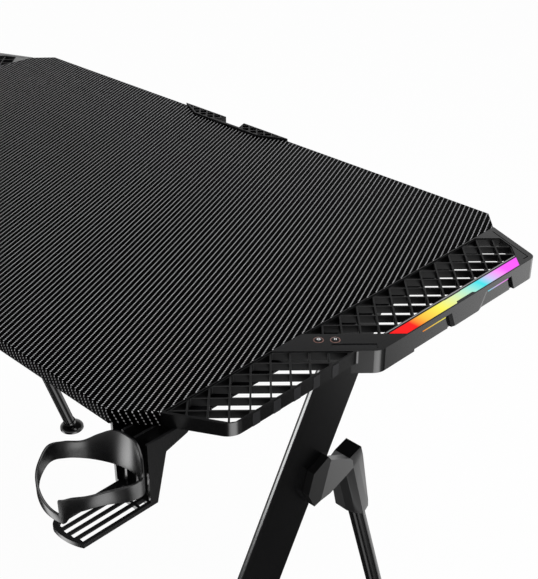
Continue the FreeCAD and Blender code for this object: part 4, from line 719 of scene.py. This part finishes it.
class DESK_OT_lattice(bpy.types.Operator):
    """Finishes the lattice panels and the cable insert"""
    bl_idname = "desk.lattice"
    bl_label = "Lattice panels"

    def execute(self, context):
        size, tone = sizes(), colours()
        # Black ABS, duller than the wings, so the thin ribs look darker
        lattice = grained("moulded_abs_lattice", tone.lattice, roughness=0.4,
                          grain=size.moulding_grain, spread=0.04, Specular_IOR_Level=0.2)
        dress(both("front_grille", "rear_grille") + ["cable_insert"], lattice)
        soften(both("front_grille", "rear_grille"), radius=0.25 * MM, segments=1)
        soften(["cable_insert"], radius=0.35 * MM)
        return {"FINISHED"}


class DESK_OT_lights(bpy.types.Operator):
    """Finishes the light bars, the side slits and the lamps under them"""
    bl_idname = "desk.lights"
    bl_label = "Light bars"

    def execute(self, context):
        dress(both("light_diffuser"), light_acrylic("frosted_acrylic_light", strength=1.0))
        dress(both("side_lenses"), light_acrylic("side_slit_light", strength=0.85))
        # White solder mask: chalky and even; the phosphor domes are yellower and glossier
        mask = grained("white_solder_mask", linear("#D8D8D4"), roughness=0.4, grain=0.5 * MM)
        phosphor = grained("led_phosphor", linear("#E8D890"), roughness=0.3, grain=0.5 * MM)
        dress(both("led_strip"), mask)
        dress(both("led_chips"), phosphor)
        soften(both("light_diffuser"), radius=0.3 * MM)
        return {"FINISHED"}


class DESK_OT_buttons(bpy.types.Operator):
    """Makes the two push buttons, their rings and marks, and finishes the plain plate"""
    bl_idname = "desk.buttons"
    bl_label = "Buttons"

    def cap(self, low, high):
        """A round cap turned from its profile: flat top, rounded edge, straight side down to the
        button's foot."""
        size = sizes()
        radius, edge = size.button_radius, size.button_edge
        turn = np.linspace(0, QUARTER, CAP_EDGE_STEPS)
        radii = np.concatenate([radius - edge * (1 - np.sin(turn)), [radius]])
        heights = np.concatenate([high.z - edge * (1 - np.cos(turn)), [low.z]])
        return turned(radii, heights, (low + high) / 2), capped_faces(len(radii), ROUND_STEPS)

    def ring(self, low, high, middle):
        """A ring whose section is an ellipse drawn out towards a rectangle: r = R + a k cos u and
        z = h + b k sin u, u once round, each kept within the ring's half width a and height b."""
        size = sizes()
        turn = np.linspace(0, FULL, RING_SECTION_STEPS, endpoint=False)
        section = np.stack([np.cos(turn), np.sin(turn)])
        section = np.clip(section / np.abs(section).max(0) ** RING_SQUARENESS, -1, 1)
        half = (high.z - low.z) / 2
        reach = size.button_radius + size.ring_gap + size.ring_wide / 2
        radii = reach + size.ring_wide / 2 * section[0]
        heights = low.z + half + half * section[1]
        return turned(radii, heights, middle), [ring_faces(len(radii), ROUND_STEPS, closed=True)]

    def hoop_mark(self, middle, top):
        """A flat printed hoop: a ring of even width, a hair above the cap."""
        size = sizes()
        inner = size.mark_reach - size.mark_line
        radii = (size.mark_reach, size.mark_reach, inner, inner)
        above = top + size.print_thick
        points = turned(radii, (top, above, above, top), middle)
        return points, [ring_faces(len(radii), ROUND_STEPS, closed=True)]

    def bars_mark(self, middle, top):
        """Two flat printed bars side by side, square to the bridge."""
        size = sizes()
        axes = np.array(((1.0, 1.0), (1.0, -1.0))) / math.sqrt(2)
        half = (size.mark_line / 2, size.mark_reach * BAR_REACH)
        corners = np.array([(-1, -1), (1, -1), (1, 1), (-1, 1)]) * half
        parts = []
        for side in (-1, 1):
            bar = (corners + (side * size.mark_line * BAR_SPACING, 0.0)) @ axes
            rings = np.stack([bar + np.asarray(middle)[:2]] * 2)
            parts.append((lifted(rings, (top + size.print_thick, top)), capped_faces(2, len(bar))))
        return joined(parts)

    def execute(self, context):
        size, tone = sizes(), colours()
        # ABS caps: black, a little duller than the shell; white pad print; coppery anodised rings
        cap_abs = grained("moulded_abs_cap", linear("#08080A"), roughness=0.25,
                          grain=size.moulding_grain, depth=0.005 * MM, spread=0.03)
        print_white = grained("white_pad_print", tone.mark, roughness=0.5, grain=0.4 * MM,
                              depth=0.002 * MM, spread=0.04)
        metal = grained("anodised_aluminium_copper", tone.ring, roughness=0.3, grain=0.4 * MM,
                        depth=0.005 * MM, Metallic=1.0)
        rings = []
        ring_low, ring_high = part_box("button_rings")
        for name, mark in (("colour_button", self.hoop_mark), ("mode_button", self.bars_mark)):
            low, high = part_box(name)
            middle = (low + high) / 2
            add_piece(f"{name}_cap", *self.cap(low, high), [cap_abs], "button_plastic", (name,),
                      name)
            add_piece(f"{name}_mark", *mark(middle, high.z), [print_white], "button_plastic", (),
                      name)
            rings.append(self.ring(ring_low, ring_high, middle))
        add_piece("copper_rings", *joined(rings), [metal], "pale_rings", ("button_rings",))
        # A smooth acrylic plate: as black as the shell round it, with a more even gloss
        plate = grained("gloss_acrylic_plate", linear("#08080A"), roughness=0.22, grain=1.5 * MM,
                        depth=0.005 * MM, spread=0.02)
        dress(["button_plate"], plate)
        return {"FINISHED"}


class DESK_OT_electronics(bpy.types.Operator):
    """Finishes the circuit boards, switches, controller and inlet"""
    bl_idname = "desk.electronics"
    bl_label = "Electronics"

    def execute(self, context):
        size, tone = sizes(), colours()
        # Glass epoxy under a green mask, and nylon switch bodies: both satin with an even grain
        epoxy = grained("glass_epoxy_board", linear("#1E4A2C"), roughness=0.4, grain=0.5 * MM)
        nylon = grained("nylon_switch", linear("#2A2A2C"), roughness=0.4, grain=0.5 * MM)
        # The controller's ABS has a deeper grain than the wings'; nickel on the inlet is bright
        shell = grained("moulded_abs_box", tone.moulding, roughness=0.4, grain=size.moulding_grain,
                        depth=0.02 * MM)
        nickel = grained("nickel_plate", linear("#B9B6AE"), roughness=0.28, grain=0.6 * MM,
                         Metallic=1.0)
        dress(["control_board"], epoxy)
        dress(["tact_switches"], nylon)
        dress(["light_controller"], shell)
        dress(["power_inlet"], nickel)
        soften(["light_controller"], radius=1.2 * MM, segments=3)
        return {"FINISHED"}


class DESK_OT_cup_holder(bpy.types.Operator):
    """Makes the cup holder's wavy ring and finishes its arm and tray"""
    bl_idname = "desk.cup_holder"
    bl_label = "Cup holder"

    def band(self, middle):
        """A rounded strip carried round a circle: its middle line and half height follow smooth
        curves of the angle, and its section is a rectangle with round corners."""
        size = sizes()
        knots, rises, halves = np.array(RING_CURVE, float).T
        at = np.linspace(knots[0], knots[-1], BAND_STEPS)
        rise = smooth_through(at, knots, rises) * size.cup_radius
        half = smooth_through(at, knots, halves) * size.cup_radius
        turn = np.radians(at)[:, None]
        signs, arcs = rounded_corners(size.cup_edge)
        out = signs[:, 0] * (size.cup_thick / 2 - size.cup_edge) + arcs[:, 0]
        reach = size.cup_radius - size.cup_thick / 2 + out
        tall = signs[:, 1] * (half[:, None] - size.cup_edge) + arcs[:, 1] + rise[:, None]
        points = np.stack([middle.x + reach * np.cos(turn), middle.y + reach * np.sin(turn),
                           middle.z + tall], -1)
        return points.reshape(-1, 3), capped_faces(len(at), len(out))

    def boss(self, middle, back):
        """The flat pad behind the ring: a square with round corners, carried back to the arm."""
        size = sizes()
        signs, arcs = rounded_corners(size.boss_corner)
        flat = signs * (size.boss_side / 2 - size.boss_corner) + arcs
        front = middle.y + size.cup_radius - size.cup_thick
        pad = np.stack([flat + np.array((middle.x, middle.z))] * 2)
        # The square stands upright, so depth takes the place of height
        return lifted(pad, (front, back))[:, (0, 2, 1)], capped_faces(2, len(flat))

    def execute(self, context):
        size, tone = sizes(), colours()
        # Polypropylene, moulded against polished steel: a soft gloss with clear, long highlights
        cup = grained("polypropylene_black", tone.cup_plastic, roughness=0.26,
                      grain=size.moulding_grain, depth=0.004 * MM, spread=0.03)
        dress(["cup_holder_arm"], cup)
        soften(["cup_holder_arm"], radius=0.35 * MM)
        low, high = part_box("cup_holder_ring")
        middle = Vector(((low.x + high.x) / 2, low.y + size.cup_radius, size.cup_middle))
        add_piece("cup_ring_band", *joined([self.band(middle), self.boss(middle, high.y)]), [cup],
                  "cup_holder_plastic", ("cup_holder_ring",))
        return {"FINISHED"}


class DESK_OT_frame(bpy.types.Operator):
    """Finishes the main legs, rails, beams and brace tubes"""
    bl_idname = "desk.frame"
    bl_label = "Steel frame"

    def execute(self, context):
        size, tone = sizes(), colours()
        # Powder coat over steel: black, satin, with a faint orange peel
        coat = grained("powder_coated_steel", tone.steel_coat, roughness=0.2, grain=size.coat_grain,
                       depth=0.004 * MM, spread=0.03, Specular_IOR_Level=0.3)
        rails = both("side_rail") + ["front_beam", "rear_beam"]
        dress(both("main_leg", "brace") + rails, coat)
        soften(both("main_leg"), radius=1.2 * MM, segments=3)
        soften(rails, radius=1.0 * MM)
        return {"FINISHED"}


class DESK_OT_knuckles(bpy.types.Operator):
    """Finishes the knuckles that join legs and braces"""
    bl_idname = "desk.knuckles"
    bl_label = "Knuckles"

    def execute(self, context):
        size, tone = sizes(), colours()
        # Glass-filled nylon: grained and satin, its facets read by the change of reflection
        nylon = grained("glass_filled_nylon", tone.casting, roughness=0.32,
                        grain=size.moulding_grain, spread=0.04)
        dress(both("knuckle"), nylon)
        soften(both("knuckle"), radius=0.9 * MM)
        return {"FINISHED"}


class DESK_OT_feet(bpy.types.Operator):
    """Makes the domed feet and their threaded studs, and finishes the end plugs"""
    bl_idname = "desk.feet"
    bl_label = "Feet"

    def dome(self, low, high):
        """A dome turned from its profile: a quarter ellipse from the neck to the rim, an upright
        rim, a round foot."""
        size = sizes()
        neck, rim = size.foot_neck, size.foot_rim
        radius = (high.x - low.x) / 2
        edge = rim * FOOT_ROUNDING
        turn = np.linspace(0, QUARTER, DOME_STEPS)
        under = turn[::RIM_STRIDE]
        radii = np.concatenate([neck + (radius - neck) * np.sin(turn),
                                radius - edge * (1 - np.cos(under))])
        heights = np.concatenate([low.z + rim + (high.z - low.z - rim) * np.cos(turn),
                                  low.z + edge * (1 - np.sin(under))])
        points = turned(radii, heights, (low + high) / 2, FOOT_STEPS)
        return points, capped_faces(len(radii), FOOT_STEPS)

    def thread(self, low, high, lean):
        """A screw thread on a leaning rod: r = R - d (1 - cos(t - 2 pi s / p)) / 2 at distance s
        along it, with the depth d fading out over one pitch p at each end."""
        size = sizes()
        radius, pitch = size.stud_radius, size.thread_pitch
        lean_out, lean_up = math.sin(lean), math.cos(lean)
        aside = np.array((1.0, 0.0, 0.0))
        ahead = np.array((0.0, -lean_out, lean_up))
        beside = np.array((0.0, lean_up, lean_out))
        length = (high.z - low.z - 2 * radius * lean_out) / lean_up
        base = np.array(((low.x + high.x) / 2, high.y - radius * lean_up,
                         low.z + radius * lean_out))
        along = np.linspace(0, length, int(length / pitch * THREAD_RINGS))[:, None]
        turn = np.arange(THREAD_STEPS)[None] * (FULL / THREAD_STEPS)
        fade = np.clip(np.minimum(along, length - along) / pitch, 0, 1)
        cut = size.thread_depth * fade * (1 - np.cos(turn - along * (FULL / pitch))) / 2
        outward = np.cos(turn)[..., None] * aside + np.sin(turn)[..., None] * beside
        points = base + along[..., None] * ahead + (radius - cut)[..., None] * outward
        return points, capped_faces(len(along), THREAD_STEPS)

    def execute(self, context):
        size = sizes()
        # Acetal: dense black with a waxy gloss; zinc on the studs is bright with a crystal grain
        acetal = grained("acetal_black", linear("#0A0A0B"), roughness=0.13,
                         grain=size.moulding_grain, depth=0.002 * MM, spread=0.03)
        zinc = grained("zinc_plated_stud", linear("#B4B7BC"), roughness=0.32, grain=0.6 * MM,
                       depth=0.005 * MM, spread=0.06, Metallic=1.0)
        dress(both("leg_shoe", "brace_plug"), acetal)
        for end, lean in (("front", 0.0), ("rear", BRACE_LEAN)):
            for foot in both(f"{end}_foot"):
                body = foot.replace("_foot", "_leveller")
                add_piece(f"{foot}_dome", *self.dome(*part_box(foot)), [acetal], "foot_plastic",
                          (foot,), body)
                stud = f"{foot}_stud"
                add_piece(f"{stud}_thread", *self.thread(*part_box(stud), lean), [zinc], "zinc_steel",
                          (stud,), body)
        return {"FINISHED"}


class DESK_OT_fasteners(bpy.types.Operator):
    """Finishes the screws and bolts"""
    bl_idname = "desk.fasteners"
    bl_label = "Screws and bolts"

    def execute(self, context):
        # Zinc plate with a black passivate: a dark, slightly blue metal
        dark = grained("black_zinc_steel", linear("#4A4C52"), roughness=0.35, grain=0.6 * MM,
                       depth=0.005 * MM, spread=0.06, Metallic=1.0)
        dress(["rail_screws", "wing_screws", "insert_screws", "cup_holder_screws", "beam_bolts",
               "brace_set_screws"], dark)
        return {"FINISHED"}


STEPS = (DESK_OT_stage, DESK_OT_board, DESK_OT_wings, DESK_OT_lattice, DESK_OT_lights,
         DESK_OT_buttons, DESK_OT_electronics, DESK_OT_cup_holder, DESK_OT_frame, DESK_OT_knuckles,
         DESK_OT_feet, DESK_OT_fasteners)


class DESK_PT_panel(bpy.types.Panel):
    """Lists the steps that build the desk"""
    bl_idname = "DESK_PT_panel"
    bl_label = "Gaming desk"
    bl_space_type = "VIEW_3D"
    bl_region_type = "UI"
    bl_category = "Desk"

    def draw(self, context):
        for step in STEPS:
            self.layout.operator(step.bl_idname)


CLASSES = (DeskSizes, DeskColours, *STEPS, DESK_PT_panel)


def register():
    """Makes the classes known and hangs the sizes and colours on the scene."""
    for item in CLASSES:
        bpy.utils.register_class(item)
    bpy.types.Scene.desk_sizes = bpy.props.PointerProperty(type=DeskSizes)
    bpy.types.Scene.desk_colours = bpy.props.PointerProperty(type=DeskColours)


def unregister():
    """Takes back what register did."""
    del bpy.types.Scene.desk_sizes
    del bpy.types.Scene.desk_colours
    for item in reversed(CLASSES):
        bpy.utils.unregister_class(item)


def main():
    """Builds everything in order."""
    register()
    for step in STEPS:
        group, name = step.bl_idname.split(".")
        getattr(getattr(bpy.ops, group), name)()


if __name__ == "__main__":
    main()
